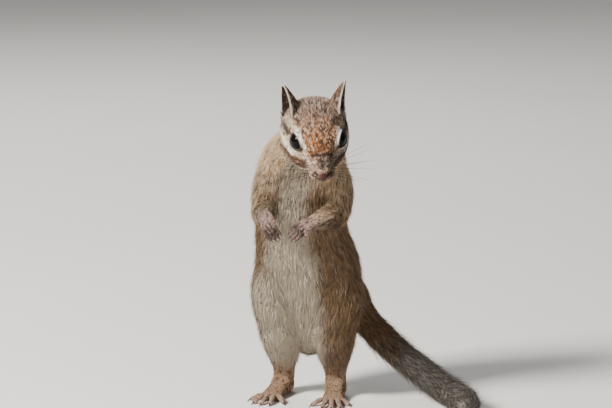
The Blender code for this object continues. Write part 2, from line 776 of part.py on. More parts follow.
    def hind_foot(self, name, leg, shank, floor, side):
        """A long hind foot with five splayed toes and claws, cut flat where it rests."""
        heel = Vector((*leg["heel"], 0.0)) * MM
        toes = Vector((*leg["toes"], 0.0)) * MM
        along = (toes - heel).normalized()
        across = Vector((0, 0, 1)).cross(along) * -side
        up = Vector((0, 0, 1))
        length = (toes - heel).length
        keys = []
        for share, wide, over, under, high in (
            (0.02, 3.9, 4.8, 3.9, 3.5),
            (0.16, 4.9, 5.2, 3.9, 3.5),
            (0.36, 4.1, 3.7, 3.2, 2.9),
            (0.58, 4.5, 2.3, 2.4, 2.1),
            (0.70, 4.7, 1.8, 2.1, 1.7),
        ):
            place = heel + along * length * share + up * high * MM
            keys.append((*(place / MM), wide, over, under))
        rings = domed(rings_along(keys, 7, up, 2.2), 2.6 * MM, 1.8 * MM, 2)
        foot = add_object(name, loft(bmesh.new(), rings, 14), self.parts, self.skin)
        ball_of_foot = heel + along * length * 0.68 + up * 1.5 * MM
        toes_plan = (
            (-1.00, -38.0, 5.4, 0.60),
            (-0.52, -12.0, 9.6, 0.90),
            (0.0, -1.0, 10.6, 1.00),
            (0.50, 10.0, 10.0, 0.95),
            (0.95, 38.0, 7.4, 0.75),
        )
        pieces = []
        for place, splay, reach, rise in toes_plan:
            way = (Matrix.Rotation(math.radians(-side * splay), 3, "Z") @ along).normalized()
            start = ball_of_foot + across * place * 3.6 * MM - way * 1.6 * MM
            end = start + way * (reach + 1.6) * MM - up * 0.7 * MM
            middle = (start + end) / 2 + up * 1.1 * MM * rise
            pieces += self.digit(start, middle, end, 1.12 * MM, up, CLAW_LENGTH, claw_drop=0.2)
        union_all(foot, pieces, self.joining)
        apply_boolean(foot, "DIFFERENCE", shank)
        apply_boolean(foot, "DIFFERENCE", floor)
        keep_largest(foot)

    # Tail

    TAIL = (
        (6.0, 16.5, 47.5, 9.5, 9.5, 9.5),
        (16.5, 20.0, 42.5, 9.6, 9.6, 9.6),
        (23.0, 19.5, 33.8, 8.3, 8.3, 8.3),
        (31.8, 15.0, 24.6, 7.0, 7.0, 7.0),
        (39.4, 10.0, 18.1, 6.8, 6.8, 6.8),
        (46.7, 3.0, 13.5, 6.8, 6.8, 6.8),
        (55.4, -7.0, 8.4, 6.7, 6.7, 6.7),
        (61.3, -16.0, 6.1, 6.6, 6.6, 6.6),
        (65.8, -26.0, 5.6, 6.2, 6.2, 6.2),
        (68.3, -36.0, 5.0, 5.4, 5.4, 5.4),
        (68.0, -43.5, 3.9, 4.0, 4.0, 4.0),
        (66.3, -49.5, 3.4, 2.0, 2.0, 2.0),
    )
    # The lengths of the tail and how many rows of locks each one carries.
    TAIL_CUTS = (("tail_base", 2), ("tail_upper", 3), ("tail_lower", 3), ("tail_tip", 4))
    CUT_BEFORE_ROW = 0.8 * MM
    CORE_END = 0.92
    TAIL_STEPS = 160
    CORE_SHARE = 0.50  # of the reach of the hair, where the hair is long
    BARE_ROOT = (0.13, 0.27)  # where the short coat of the root gives way to long hair
    ROW_STEP = 7.5 * MM
    LOCKS_ROUND = 7
    LOCK_LENGTH = 14.0 * MM
    LOCK_WIDTH = 4.1 * MM
    LOCK_THICKNESS = 0.85 * MM

    def tail_spot(self, share, turn, reach):
        """A place near the tail: how far along it, the angle round it and the distance from its bone line."""
        at = min(max(share, 0.0), 1.0) * (self.TAIL_STEPS - 1)
        i = min(int(at), self.TAIL_STEPS - 2)
        low, high, t = self.tail_rings[i], self.tail_rings[i + 1], at - i
        side = low.side.lerp(high.side, t)
        front = low.front.lerp(high.front, t)
        beyond = low.along * max(share - 1.0, 0.0) * self.tail_length
        return low.centre.lerp(high.centre, t) + beyond + (side * math.cos(turn) + front * math.sin(turn)) * reach

    def hair_reach(self, share):
        """From the bone line to the tips of the coat."""
        at = min(max(share, 0.0), 1.0) * (self.TAIL_STEPS - 1)
        i = min(int(at), self.TAIL_STEPS - 2)
        return self.tail_rings[i].wide + (self.tail_rings[i + 1].wide - self.tail_rings[i].wide) * (at - i)

    def core_reach(self, share):
        """From the bone line to the surface of the dense inner coat."""
        first, last = self.BARE_ROOT
        long_hair = min(max((share - first) / (last - first), 0.0), 1.0)
        return self.hair_reach(share) * (1.0 - (1.0 - self.CORE_SHARE) * long_hair)

    def lock(self, share, turn, draw):
        """One flat, tapered lock that leaves the core at a slant and bends along the tail."""
        length = self.LOCK_LENGTH * draw.uniform(0.86, 1.10) / self.tail_length
        width = self.LOCK_WIDTH * draw.uniform(0.88, 1.06)
        sway = math.radians(draw.uniform(-9.0, 9.0))
        root = self.core_reach(share) - 0.6 * MM
        bm = bmesh.new()
        loops = []
        for part, wide in ((0.0, 0.50), (0.42, 1.0), (0.78, 0.78)):
            ahead = share + length * part
            tip = self.hair_reach(ahead) * 0.97
            reach = root + (tip - root) * part ** 0.9
            angle = turn + sway * part * part
            half = wide * width / 2 / reach
            thick = self.LOCK_THICKNESS / 2 * (1.0 - 0.35 * part)
            spots = ((-half, -thick), (0.0, thick), (half, -thick))
            loops.append([bm.verts.new(self.tail_spot(ahead, angle + a, reach + r)) for a, r in spots])
        for low, high in zip(loops, loops[1:]):
            for i in range(3):
                j = (i + 1) % 3
                bm.faces.new((low[i], low[j], high[j]))
                bm.faces.new((low[i], high[j], high[i]))
        bm.faces.new(loops[0][::-1])
        ahead = share + length
        end = bm.verts.new(self.tail_spot(ahead, turn + sway, self.hair_reach(min(ahead, 1.0)) * 0.98))
        for i in range(3):
            bm.faces.new((loops[-1][i], loops[-1][(i + 1) % 3], end))
        return add_object("lock", bm, self.parts)

    def build_tail(self):
        """The tail in four lengths: a core, and locks that overlap towards the tip."""
        self.tail_rings = rings_along(self.TAIL, self.TAIL_STEPS, Vector((0, 0, 1)))
        steps = zip(self.tail_rings, self.tail_rings[1:])
        self.tail_length = sum((high.centre - low.centre).length for low, high in steps)
        draw = random.Random(LOCK_SEED)
        step = self.ROW_STEP / self.tail_length
        row, first = 0, 0.0
        for name, rows in self.TAIL_CUTS:
            end = self.BARE_ROOT[0] + (row + rows) * step - self.CUT_BEFORE_ROW / self.tail_length
            last = self.CORE_END if name == "tail_tip" else end
            piece = self.tail_core(name, first, last)
            locks = []
            for row in range(row, row + rows):
                share = self.BARE_ROOT[0] + row * step
                for i in range(self.LOCKS_ROUND):
                    turn = 2 * math.pi * (i + 0.5 * (row % 2)) / self.LOCKS_ROUND
                    turn += math.radians(draw.uniform(-3.0, 3.0))
                    locks.append(self.lock(share + draw.uniform(-0.003, 0.003), turn, draw))
            row += 1
            first = last
            union_all(piece, locks, self.joining)
            if name == "tail_base":
                apply_boolean(piece, "DIFFERENCE", self.trunk_grown)
            apply_boolean(piece, "DIFFERENCE", self.floor)
            keep_largest(piece)

    def tail_core(self, name, first, last):
        """The dense inner coat of one length of the tail."""
        start = first + (GAP / self.tail_length if first else 0.0)
        rings = []
        for i in range(9):
            share = start + (last - start) * i / 8
            at = self.tail_rings[round(share * (self.TAIL_STEPS - 1))]
            reach = self.core_reach(share)
            rings.append(Ring(self.tail_spot(share, 0, 0), at.along, at.front, reach, reach, reach))
        rings = domed(rings, 0, 1.5 * MM if name == "tail_tip" else 0)
        return add_object(name, loft(bmesh.new(), rings, 12), self.parts, self.tail_fur)

    def trim_trunk(self):
        """Cuts the neck and chest clear of the head."""
        for name in ("neck", "chest"):
            piece = self.parts.objects[name]
            apply_boolean(piece, "DIFFERENCE", self.head_grown)
            keep_largest(piece)

    def centre_on_origin(self):
        """Moves the animal so that the middle of its footprint is at the origin."""
        low, high = Vector((1e9,) * 3), Vector((-1e9,) * 3)
        for piece in self.parts.objects:
            for vertex in piece.data.vertices:
                low = Vector(map(min, low, vertex.co))
                high = Vector(map(max, high, vertex.co))
        middle = (low + high) / 2
        for piece in self.parts.objects:
            piece.data.transform(Matrix.Translation((-middle.x, -middle.y, 0.0)))

    def build(self):
        """Builds every sub-part in turn."""
        self.build_trunk()
        self.build_head()
        self.build_eyes()
        for side in (1, -1):
            self.build_ear(side)
        self.build_arms()
        self.build_legs()
        self.build_tail()
        self.trim_trunk()
        self.remove(*list(self.cutters.objects))
        self.centre_on_origin()


def main():
    empty_the_scene()
    random.seed(LOCK_SEED)
    Chipmunk().build()


main()
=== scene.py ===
"""Looks of a life-size Siberian chipmunk that stands upright.

One skin, a coat of solid tufts, eyes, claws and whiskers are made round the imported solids, which stay as
they are. Points are worked out in millimetres in the drawing's own frame, and the solids' left eye tells how
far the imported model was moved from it.
"""

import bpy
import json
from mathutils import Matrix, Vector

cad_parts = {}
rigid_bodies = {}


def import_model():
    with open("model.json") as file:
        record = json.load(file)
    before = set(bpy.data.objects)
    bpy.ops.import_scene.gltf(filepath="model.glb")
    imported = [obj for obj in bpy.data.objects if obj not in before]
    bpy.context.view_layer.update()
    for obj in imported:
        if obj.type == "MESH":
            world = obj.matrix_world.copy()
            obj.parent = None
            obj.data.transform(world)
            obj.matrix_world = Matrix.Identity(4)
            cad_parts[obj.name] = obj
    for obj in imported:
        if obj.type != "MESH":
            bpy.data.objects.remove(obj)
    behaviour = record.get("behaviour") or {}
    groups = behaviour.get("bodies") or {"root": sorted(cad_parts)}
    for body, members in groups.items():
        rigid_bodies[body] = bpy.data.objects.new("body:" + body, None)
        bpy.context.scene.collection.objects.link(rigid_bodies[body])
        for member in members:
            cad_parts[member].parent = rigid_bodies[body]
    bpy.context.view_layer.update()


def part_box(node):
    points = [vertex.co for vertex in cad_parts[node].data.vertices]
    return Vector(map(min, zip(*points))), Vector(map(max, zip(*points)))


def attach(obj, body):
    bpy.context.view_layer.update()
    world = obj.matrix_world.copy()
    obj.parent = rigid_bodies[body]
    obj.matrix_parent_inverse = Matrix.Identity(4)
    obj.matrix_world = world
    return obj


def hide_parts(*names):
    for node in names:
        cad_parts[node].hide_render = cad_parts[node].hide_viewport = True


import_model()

import json
import logging
import math
from dataclasses import dataclass, field
from enum import Enum

import bmesh
import bpy
import numpy as np
from mathutils import Matrix, Vector, kdtree
from mathutils.bvhtree import BVHTree

Array = np.ndarray
Shell = tuple[Array, list[tuple[int, ...]]]
Obj = bpy.types.Object
LOG = logging.getLogger("chipmunk")
MM = 0.001
SEED = 11
UP = np.array((0.0, 0.0, 1.0))
SIDES = {"left": 1, "right": -1}
FAR = 20.0  # an edge distance above this lies behind the eye


def unit(vectors: Array) -> Array:
    """Vectors of length one along the given ones."""
    return vectors / np.maximum(np.linalg.norm(vectors, axis=-1, keepdims=True), 1e-9)


def dot(a: Array, b: Array) -> Array:
    """Row-wise inner product, kept as a column."""
    return np.sum(a * b, axis=-1, keepdims=True)


def laid(vectors: Array, normals: Array) -> Array:
    """Unit vectors along the given ones, but square to the normals."""
    return unit(vectors - normals * dot(vectors, normals))


def ramp(value: Array, low: float, high: float) -> Array:
    """A smooth step from 0 at low to 1 at high."""
    t = np.clip((value - low) / (high - low), 0.0, 1.0)
    return t * t * (3.0 - 2.0 * t)


def band(value: Array, centre: Array | float, half: Array | float, soft: float = 0.5) -> Array:
    """1 inside a stripe about a centre, falling softly to 0 outside it."""
    return 1.0 - ramp(np.abs(value - centre), half - soft, half + soft)


def bell(value: Array, centre: float, width: float) -> Array:
    """A soft bump of height 1 about a centre."""
    return np.exp(-(((value - centre) / width) ** 2))


def through(keys: Array, count: int) -> Array:
    """Rows spread evenly along a smooth curve through key rows whose first three columns are a place.

    Args:
        keys: key rows, at least two.
        count: how many rows to return.

    Returns:
        An array of count rows.
    """
    keys = np.array(keys, float)
    at = np.concatenate([[0.0], np.cumsum(np.linalg.norm(np.diff(keys[:, :3], axis=0), axis=1))])
    slopes = np.gradient(keys, at, axis=0)
    wanted = np.linspace(0.0, at[-1], count)
    i = np.clip(np.searchsorted(at, wanted, side="right") - 1, 0, len(keys) - 2)
    span = (at[i + 1] - at[i])[:, None]
    t = (wanted[:, None] - at[i][:, None]) / span
    return (
        keys[i] * (2 * t**3 - 3 * t**2 + 1)
        + slopes[i] * span * (t**3 - 2 * t**2 + t)
        + keys[i + 1] * (3 * t**2 - 2 * t**3)
        + slopes[i + 1] * span * (t**3 - t**2)
    )


def facing(yaw_degrees: float) -> Array:
    """The level direction that a part faces when it is turned from -Y towards -X."""
    yaw = math.radians(yaw_degrees)
    return np.array((-math.sin(yaw), -math.cos(yaw), 0.0))


def tube(
    keys: Array, front: Array, count: int, around: int, domes: tuple[float, float], power: float = 2.0,
    level: Array | None = None,
) -> Shell:
    """A closed tube with rounded ends.

    Args:
        keys: rows of x, y, z, half width, reach to the front and reach to the back.
        front: one front direction, or one for each ring.
        count: number of rings between the domes.
        around: points in a ring.
        domes: height of the dome at the start and at the end.
        power: 2 for an ellipse, more for a squarer section.
        level: the one direction that all rings face. Without it they face along the curve.

    Returns:
        Points and faces.
    """
    rows = through(keys, count)
    along = unit(np.gradient(rows[:, :3], axis=0)) if level is None else np.tile(level, (count, 1))
    front = laid(np.broadcast_to(front, along.shape), along)
    turns = 0.5 * math.pi * np.arange(1, 6) / 5.3  # five rings, the last just short of the pole
    first = [(0, math.cos(a), -domes[0] * math.sin(a)) for a in turns[::-1]]
    last = [(count - 1, math.cos(a), domes[1] * math.sin(a)) for a in turns]
    plan = first + [(i, 1.0, 0.0) for i in range(count)] + last
    turn = 2 * math.pi * np.arange(around) / around
    across = np.sign(np.cos(turn)) * np.abs(np.cos(turn)) ** (2 / power)
    up = np.sign(np.sin(turn)) * np.abs(np.sin(turn)) ** (2 / power)
    points = []
    for i, share, moved in plan:
        side = np.cross(along[i], front[i])
        reach = np.where(up > 0, rows[i, 4], rows[i, 5]) * share
        centre = rows[i, :3] + along[i] * moved
        points.append(centre + np.outer(across * rows[i, 3] * share, side) + np.outer(up * reach, front[i]))
    last_ring = (len(plan) - 1) * around
    faces: list[tuple[int, ...]] = []
    for a in range(0, last_ring, around):
        for j in range(around):
            k = (j + 1) % around
            faces.append((a + j, a + k, a + around + k, a + around + j))
    faces.append(tuple(range(around))[::-1])
    faces.append(tuple(range(last_ring, last_ring + around)))
    return np.concatenate(points), faces


def ball(centre: Array, radii: Array, axes: Array | None = None, around: int = 24, rings: int = 16) -> Shell:
    """An ellipsoid with its axes along the columns of a matrix."""
    points = [(0.0, 0.0, 1.0)]
    for i in range(1, rings):
        lift = math.pi * i / rings
        for j in range(around):
            turn = 2 * math.pi * j / around
            points.append((math.sin(lift) * math.cos(turn), math.sin(lift) * math.sin(turn), math.cos(lift)))
    points.append((0.0, 0.0, -1.0))
    faces: list[tuple[int, ...]] = [(0, 1 + j, 1 + (j + 1) % around) for j in range(around)]
    for i in range(rings - 2):
        a, b = 1 + i * around, 1 + (i + 1) * around
        for j in range(around):
            k = (j + 1) % around
            faces.append((a + j, b + j, b + k, a + k))
    a, end = 1 + (rings - 2) * around, len(points) - 1
    faces += [(a + (j + 1) % around, a + j, end) for j in range(around)]
    turned = (np.array(points) * np.array(radii)) @ (np.eye(3) if axes is None else axes).T
    return turned + np.array(centre), faces


@dataclass
class HeadFrame:
    """The head's own axes: how far behind the nose tip, to the animal's left, and up."""

    nose_tip: Array = field(default_factory=lambda: np.array((7.3, -32.0, 102.9)))
    yaw: float = 8.5
    pitch: float = 30.0
    roll: float = 3.0

    def __post_init__(self) -> None:
        """Works out the three axes."""
        yaw, pitch = math.radians(self.yaw), math.radians(self.pitch)
        level = math.cos(pitch)
        forward = Vector((math.sin(yaw) * level, -math.cos(yaw) * level, -math.sin(pitch)))
        turn = Matrix.Rotation(math.radians(self.roll), 3, forward)
        left = turn @ Vector((math.cos(yaw), math.sin(yaw), 0.0))
        self.forward, self.left = np.array(forward), np.array(left)
        self.up = np.cross(self.forward, self.left)
        self.axes = np.stack([self.forward, self.left, self.up], axis=1)

    def place(self, back: float, left: float, up: float) -> Array:
        """A place in the drawing from a place in the head."""
        return self.nose_tip - self.forward * back + self.left * left + self.up * up

    def inside(self, points: Array) -> tuple[Array, Array, Array]:
        """Behind the nose, left and up for each point."""
        local = (points - self.nose_tip) @ self.axes
        return -local[:, 0], local[:, 1], local[:, 2]


HEAD = HeadFrame()


@dataclass
class EyeFrame:
    """Where one eye is, how it looks out and how far its lids open."""

    side: int
    place: tuple[float, float, float] = (17.4, 7.6, 5.0)
    look: tuple[float, float, float] = (0.50, 0.79, 0.35)
    radius: float = 4.7
    deeper: float = 0.55
    opening: tuple[float, float] = (8.3, 5.0)

    def __post_init__(self) -> None:
        """Works out the centre and the axes: along the lids, across them, and outwards."""
        self.solid_centre = HEAD.place(self.place[0], self.side * self.place[1], self.place[2])
        look = unit(HEAD.axes @ np.array((self.look[0], self.side * self.look[1], self.look[2])))
        self.centre = self.solid_centre - look * self.deeper
        along = HEAD.forward - HEAD.up * 0.30
        along = unit(along - look * float(along @ look))
        self.axes = np.stack([along, np.cross(look, along), look], axis=1)

    def local(self, points: Array) -> Array:
        """The points in the eye's frame."""
        return (points - self.centre) @ self.axes

    def edge_distance(self, points: Array) -> Array:
        """How far outside the opening's edge each point lies, seen along the look. Negative is inside."""
        local = self.local(points)
        x = local[:, 0] / (self.opening[0] / 2)
        y = np.abs(local[:, 1]) / (self.opening[1] / 2)
        size = (np.abs(x) ** 2.0 + y**1.48) ** 0.55
        reach = np.linalg.norm(local[:, :2], axis=1)
        return np.where(local[:, 2] > 0, reach - reach / np.maximum(size, 1e-6), 99.0)


EYES = {name: EyeFrame(side) for name, side in SIDES.items()}


def frame_shift() -> Array:
    """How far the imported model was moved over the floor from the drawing, in millimetres."""
    low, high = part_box("eye_left")
    shift = np.array((low + high) / 2) / MM - EYES["left"].solid_centre
    shift[2] = 0.0
    return shift


SHIFT = frame_shift()


def linked(name: str, data: bpy.types.ID) -> Obj:
    """A new object with this data, in the scene."""
    made = bpy.data.objects.new(name, data)
    bpy.context.scene.collection.objects.link(made)
    return made


def make_object(name: str, points: Array, faces: list | Array, smooth: bool = True) -> Obj:
    """A mesh object from points in drawing millimetres."""
    mesh = bpy.data.meshes.new(name)
    places = (points + SHIFT) * MM
    if isinstance(faces, np.ndarray):
        mesh.vertices.add(len(places))
        mesh.vertices.foreach_set("co", places.astype(np.float32).ravel())
        mesh.loops.add(faces.size)
        mesh.loops.foreach_set("vertex_index", faces.astype(np.int32).ravel())
        mesh.polygons.add(len(faces))
        mesh.polygons.foreach_set("loop_start", np.arange(0, faces.size, faces.shape[1], dtype=np.int32))
        mesh.update(calc_edges=True)
    else:
        mesh.from_pydata(places.tolist(), [], faces)
        mesh.update()
    if smooth:
        mesh.shade_smooth()
    return linked(name, mesh)


def joined(shells: list[Shell]) -> Shell:
    """Several shells as one list of points and faces."""
    points, faces, first = [], [], 0
    for shell_points, shell_faces in shells:
        points.append(shell_points)
        faces += [tuple(i + first for i in face) for face in shell_faces]
        first += len(shell_points)
    return np.concatenate(points), faces


def evaluated_mesh(obj: Obj) -> bpy.types.Mesh:
    """The object's mesh with its modifiers applied. The modifiers are then removed."""
    graph = bpy.context.evaluated_depsgraph_get()
    mesh = bpy.data.meshes.new_from_object(obj.evaluated_get(graph))
    obj.modifiers.clear()
    obj.data = mesh
    return mesh


def read(items: bpy.types.bpy_prop_collection, key: str, width: int, kind: type = np.float32) -> Array:
    """One value of each item of a mesh, as rows."""
    made = np.empty(len(items) * width, kind)
    items.foreach_get(key, made)
    return made.reshape(-1, width)


def mesh_points(mesh: bpy.types.Mesh) -> Array:
    """A mesh's points in drawing millimetres."""
    return read(mesh.vertices, "co", 3).astype(float) / MM - SHIFT


def put_points(mesh: bpy.types.Mesh, points: Array) -> None:
    """Writes points in drawing millimetres back to a mesh."""
    mesh.vertices.foreach_set("co", ((points + SHIFT) * MM).astype(np.float32).ravel())
    mesh.update()


# Rows as in the solids: place, half width, reach to the front and reach to the back. The head's rows are in
# its own axes, and the tail's rows have one reach for all sides.
TRUNK = (
    (1.5, 9.0, 22.5, 9.0, 7.0, 7.5),
    (1.6, 9.0, 26.0, 14.2, 11.5, 12.5),
    (2.2, 9.0, 33.0, 18.6, 15.2, 16.8),
    (2.5, 8.6, 43.0, 22.0, 17.6, 19.0),
    (0.9, 7.6, 56.0, 23.4, 18.2, 19.0),
    (-1.7, 6.6, 68.0, 21.1, 17.4, 18.4),
    (-2.4, 6.0, 80.0, 20.3, 16.4, 17.8),
    (-2.0, 5.4, 91.0, 20.9, 15.6, 17.0),
    (-0.7, 4.0, 101.0, 20.1, 14.6, 15.8),
    (1.6, 1.2, 109.0, 16.2, 13.4, 14.2),
    (2.5, -3.2, 115.5, 12.8, 12.0, 12.6),
    (2.8, -7.6, 119.5, 10.6, 10.0, 10.0),
)
HEAD_ROWS = (
    (0.6, 0.0, -0.4, 2.3, 1.6, 2.6),
    (2.2, 0.0, -0.1, 3.2, 2.8, 4.8),
    (4.6, 0.0, 0.0, 4.0, 4.2, 6.6),
    (7.5, 0.0, 0.0, 5.0, 5.6, 7.9),
    (11.0, 0.0, 0.0, 7.6, 8.4, 9.1),
    (15.0, 0.0, 0.0, 10.8, 11.0, 10.3),
    (19.0, 0.0, 0.0, 12.9, 12.9, 11.4),
    (24.0, 0.0, 0.0, 14.3, 14.3, 12.4),
    (29.0, 0.0, 0.0, 14.6, 15.0, 12.8),
    (34.0, 0.0, 0.0, 14.0, 15.0, 12.6),
    (38.5, 0.0, -1.2, 12.0, 13.2, 11.0),
    (42.0, 0.0, -2.5, 8.8, 9.8, 8.4),
)
TAIL = (
    (6.0, 16.5, 47.5, 9.5),
    (16.5, 20.0, 42.5, 9.6),
    (23.0, 19.5, 33.8, 8.3),
    (31.8, 15.0, 24.6, 7.0),
    (39.4, 10.0, 18.1, 6.8),
    (46.7, 3.0, 13.5, 6.8),
    (55.4, -7.0, 8.4, 6.7),
    (61.3, -16.0, 6.1, 6.6),
    (65.8, -26.0, 5.6, 6.2),
    (68.3, -36.0, 5.0, 5.4),
    (68.0, -43.5, 3.9, 4.0),
    (66.3, -49.5, 3.4, 2.0),
)
CHEST_YAW, PELVIS_YAW, NECK_YAW = 15.0, 24.0, 2.0


@dataclass(frozen=True)
class Arm:
    """The rows of one arm and the way that its hand points."""

    side: str
    upper: tuple
    fore: tuple
    palm: tuple
    tips: tuple[float, float, float]
    back_of_hand: tuple[float, float, float]


@dataclass(frozen=True)
class Leg:
    """The rows of one leg and where its foot stands."""

    side: str
    thigh: tuple
    shank: tuple
    heel: tuple[float, float]
    toes: tuple[float, float]
    yaw: float


ARMS = (
    Arm(
        "right",
        (
            (-15.2, 2.0, 98.0, 6.8, 8.5, 8.5),
            (-17.2, -0.5, 90.0, 6.7, 8.2, 8.0),
            (-18.4, -3.0, 82.5, 5.6, 6.6, 6.6),
        ),
        (
            (-18.4, -3.4, 82.0, 5.2, 5.4, 5.8),
            (-18.0, -11.5, 82.2, 4.6, 4.8, 4.8),
            (-17.0, -20.0, 83.6, 3.1, 3.2, 3.2),
        ),
        (
            (-16.8, -20.9, 83.4, 2.9, 2.4, 2.4),
            (-16.0, -23.6, 81.0, 3.6, 2.2, 2.2),
            (-15.2, -25.2, 78.2, 3.5, 1.9, 1.9),
        ),
        (-12.6, -26.4, 75.0),
        (-0.35, -0.85, 0.35),
    ),
    Arm(
        "left",
        (
            (13.4, -1.0, 97.0, 6.7, 8.5, 8.5),
            (14.2, -4.0, 89.0, 6.6, 8.2, 8.0),
            (14.0, -7.5, 81.5, 5.6, 6.8, 6.8),
        ),
        (
            (13.6, -7.9, 81.0, 5.2, 5.6, 5.8),
            (8.6, -16.0, 81.6, 4.6, 4.8, 4.8),
            (2.6, -23.0, 80.8, 3.1, 3.2, 3.2),
        ),
        (
            (1.7, -23.7, 80.6, 2.9, 2.4, 2.4),
            (-0.8, -25.6, 79.6, 3.6, 2.2, 2.2),
            (-3.2, -26.9, 78.2, 3.5, 1.9, 1.9),
        ),
        (-5.9, -28.2, 76.0),
        (0.10, -0.72, 0.68),
    ),
)
LEGS = (
    Leg(
        "right",
        (
            (-12.4, 10.5, 56.0, 9.6, 12.0, 13.0),
            (-13.0, 6.5, 45.0, 10.2, 15.0, 15.0),
            (-12.4, 2.5, 34.0, 9.2, 12.5, 12.5),
        ),
        (
            (-12.0, 1.5, 31.0, 8.7, 10.0, 10.0),
            (-10.8, 6.0, 21.5, 7.2, 8.0, 8.0),
            (-9.4, 10.5, 11.5, 5.3, 5.4, 5.4),
        ),
        (-8.6, 12.5),
        (-18.5, -14.5),
        PELVIS_YAW,
    ),
    Leg(
        "left",
        (
            (12.6, 5.0, 55.0, 9.0, 12.0, 13.0),
            (14.8, 1.0, 44.0, 10.8, 15.0, 15.0),
            (12.8, -3.0, 34.0, 10.0, 13.0, 13.0),
        ),
        (
            (12.4, -3.8, 31.0, 9.7, 10.5, 10.5),
            (12.7, 0.5, 21.5, 7.9, 8.4, 8.4),
            (12.8, 4.5, 11.5, 5.5, 5.6, 5.6),
        ),
        (13.2, 7.0),
        (10.6, -22.0),
        4.0,
    ),
)


def thinner(rows: tuple | Array, by: tuple[float, ...] | float) -> Array:
    """Rows with the coat's depth taken off their reach."""
    rows = np.array(rows, float)
    rows[:, 3:] -= np.broadcast_to(np.array(by, float).reshape(-1, 1), (len(rows), 1))
    return rows


@dataclass
class Digit:
    """A finger or toe: its joints' places, its thickness and its claw."""

    start: Array
    middle: Array
    end: Array
    radius: float
    back: Array
    claw: float
    claw_drop: float

    def shell(self) -> Shell:
        """The flesh, with a knuckle and a pad under the tip."""
        keys = []
        for share, size in ((0.0, 1.0), (0.3, 0.92), (0.52, 1.04), (0.74, 0.86), (1.0, 0.92)):
            if share <= 0.52:
                place = self.start + (self.middle - self.start) * share / 0.52
            else:
                place = self.middle + (self.end - self.middle) * (share - 0.52) / 0.48
            wide = self.radius * size
            keys.append((*place, wide, wide, wide * (1.18 if share == 1.0 else 1.0)))
        return tube(keys, self.back, 12, 14, (self.radius, self.radius * 0.9))

    def claw_path(self) -> Array:
        """The middle line of the claw, from inside the fingertip to the point."""
        ahead = unit(self.end - self.middle)
        base = self.end + self.back * self.radius * 0.30 - ahead * 0.4
        t = np.linspace(0.0, 1.0, 9)[:, None]
        return base + ahead * (self.claw * 1.25 + 0.4) * t - self.back * self.claw * self.claw_drop * t * t


def hand_digits(arm: Arm) -> list[Digit]:
    """Four bent fingers and the stub of a thumb."""
    back = unit(np.array(arm.back_of_hand))
    knuckles, tip = np.array(arm.palm[-1][:3]), np.array(arm.tips)
    along = unit(tip - knuckles)
    across = unit(np.cross(along, back))
    made = []
    for place, share in zip((-1.5, -0.5, 0.5, 1.5), (0.80, 1.0, 0.96, 0.74)):
        start = knuckles + across * place * 1.7 - along * 1.2
        end = knuckles + across * place * 1.6 + (tip - knuckles) * share * 0.97
        made.append(Digit(start, (start + end) / 2 + back * 1.0, end - back * 0.2, 0.82, back, 1.4, 0.9))
    start = knuckles - across * 3.0 - along * 3.0
    end = start + along * 2.6 - across * 1.0
    made.append(Digit(start, (start + end) / 2, end, 0.75, back, 0.0, 0.0))
    return made


@dataclass
class Foot:
    """One long hind foot with five splayed toes."""

    leg: Leg

    def __post_init__(self) -> None:
        """Works out the foot's line and its sides."""
        self.sign = SIDES[self.leg.side]
        self.heel = np.array((*self.leg.heel, 0.0))
        toes = np.array((*self.leg.toes, 0.0))
        self.length = float(np.linalg.norm(toes - self.heel))
        self.along = unit(toes - self.heel)
        self.across = np.cross(UP, self.along) * -self.sign

    def line(self) -> tuple[tuple[float, float, float], ...]:
        """Places along the foot: distance from the heel, height and reach."""
        end = (self.length + 4.0, 1.2, 5.6)
        return (0.5, 4.0, 4.9), (8.0, 3.4, 4.6), (17.0, 2.2, 4.4), (24.0, 1.6, 5.0), end

    def sole(self) -> Shell:
        """The heel, the arch and the ball of the foot."""
        keys = []
        for share, wide, over, under, high in (
            (0.02, 3.7, 4.6, 3.7, 3.5), (0.16, 4.7, 5.0, 3.7, 3.5), (0.36, 3.9, 3.5, 3.0, 2.9),
            (0.58, 4.3, 2.1, 2.2, 2.1), (0.70, 4.5, 1.6, 1.9, 1.7),
        ):
            keys.append((*(self.heel + self.along * self.length * share + UP * high), wide, over, under))
        return tube(keys, UP, 14, 24, (2.4, 1.6), 2.2)

    def digits(self) -> list[Digit]:
        """The five toes, the outer ones shorter."""
        start_place = self.heel + self.along * self.length * 0.68 + UP * 1.5
        made = []
        for place, splay, reach, rise in (
            (-1.00, -38.0, 5.4, 0.60), (-0.52, -12.0, 9.6, 0.90), (0.0, -1.0, 10.6, 1.00),
            (0.50, 10.0, 10.0, 0.95), (0.95, 38.0, 7.4, 0.75),
        ):
            way = np.array(Matrix.Rotation(math.radians(-self.sign * splay), 3, "Z") @ Vector(self.along))
            start = start_place + self.across * place * 3.6 - way * 1.6
            end = start + way * (reach + 1.6) - UP * 0.7
            middle = (start + end) / 2 + UP * 1.1 * rise
            made.append(Digit(start, middle, end, 1.08, UP, 2.6, 0.2))
        return made


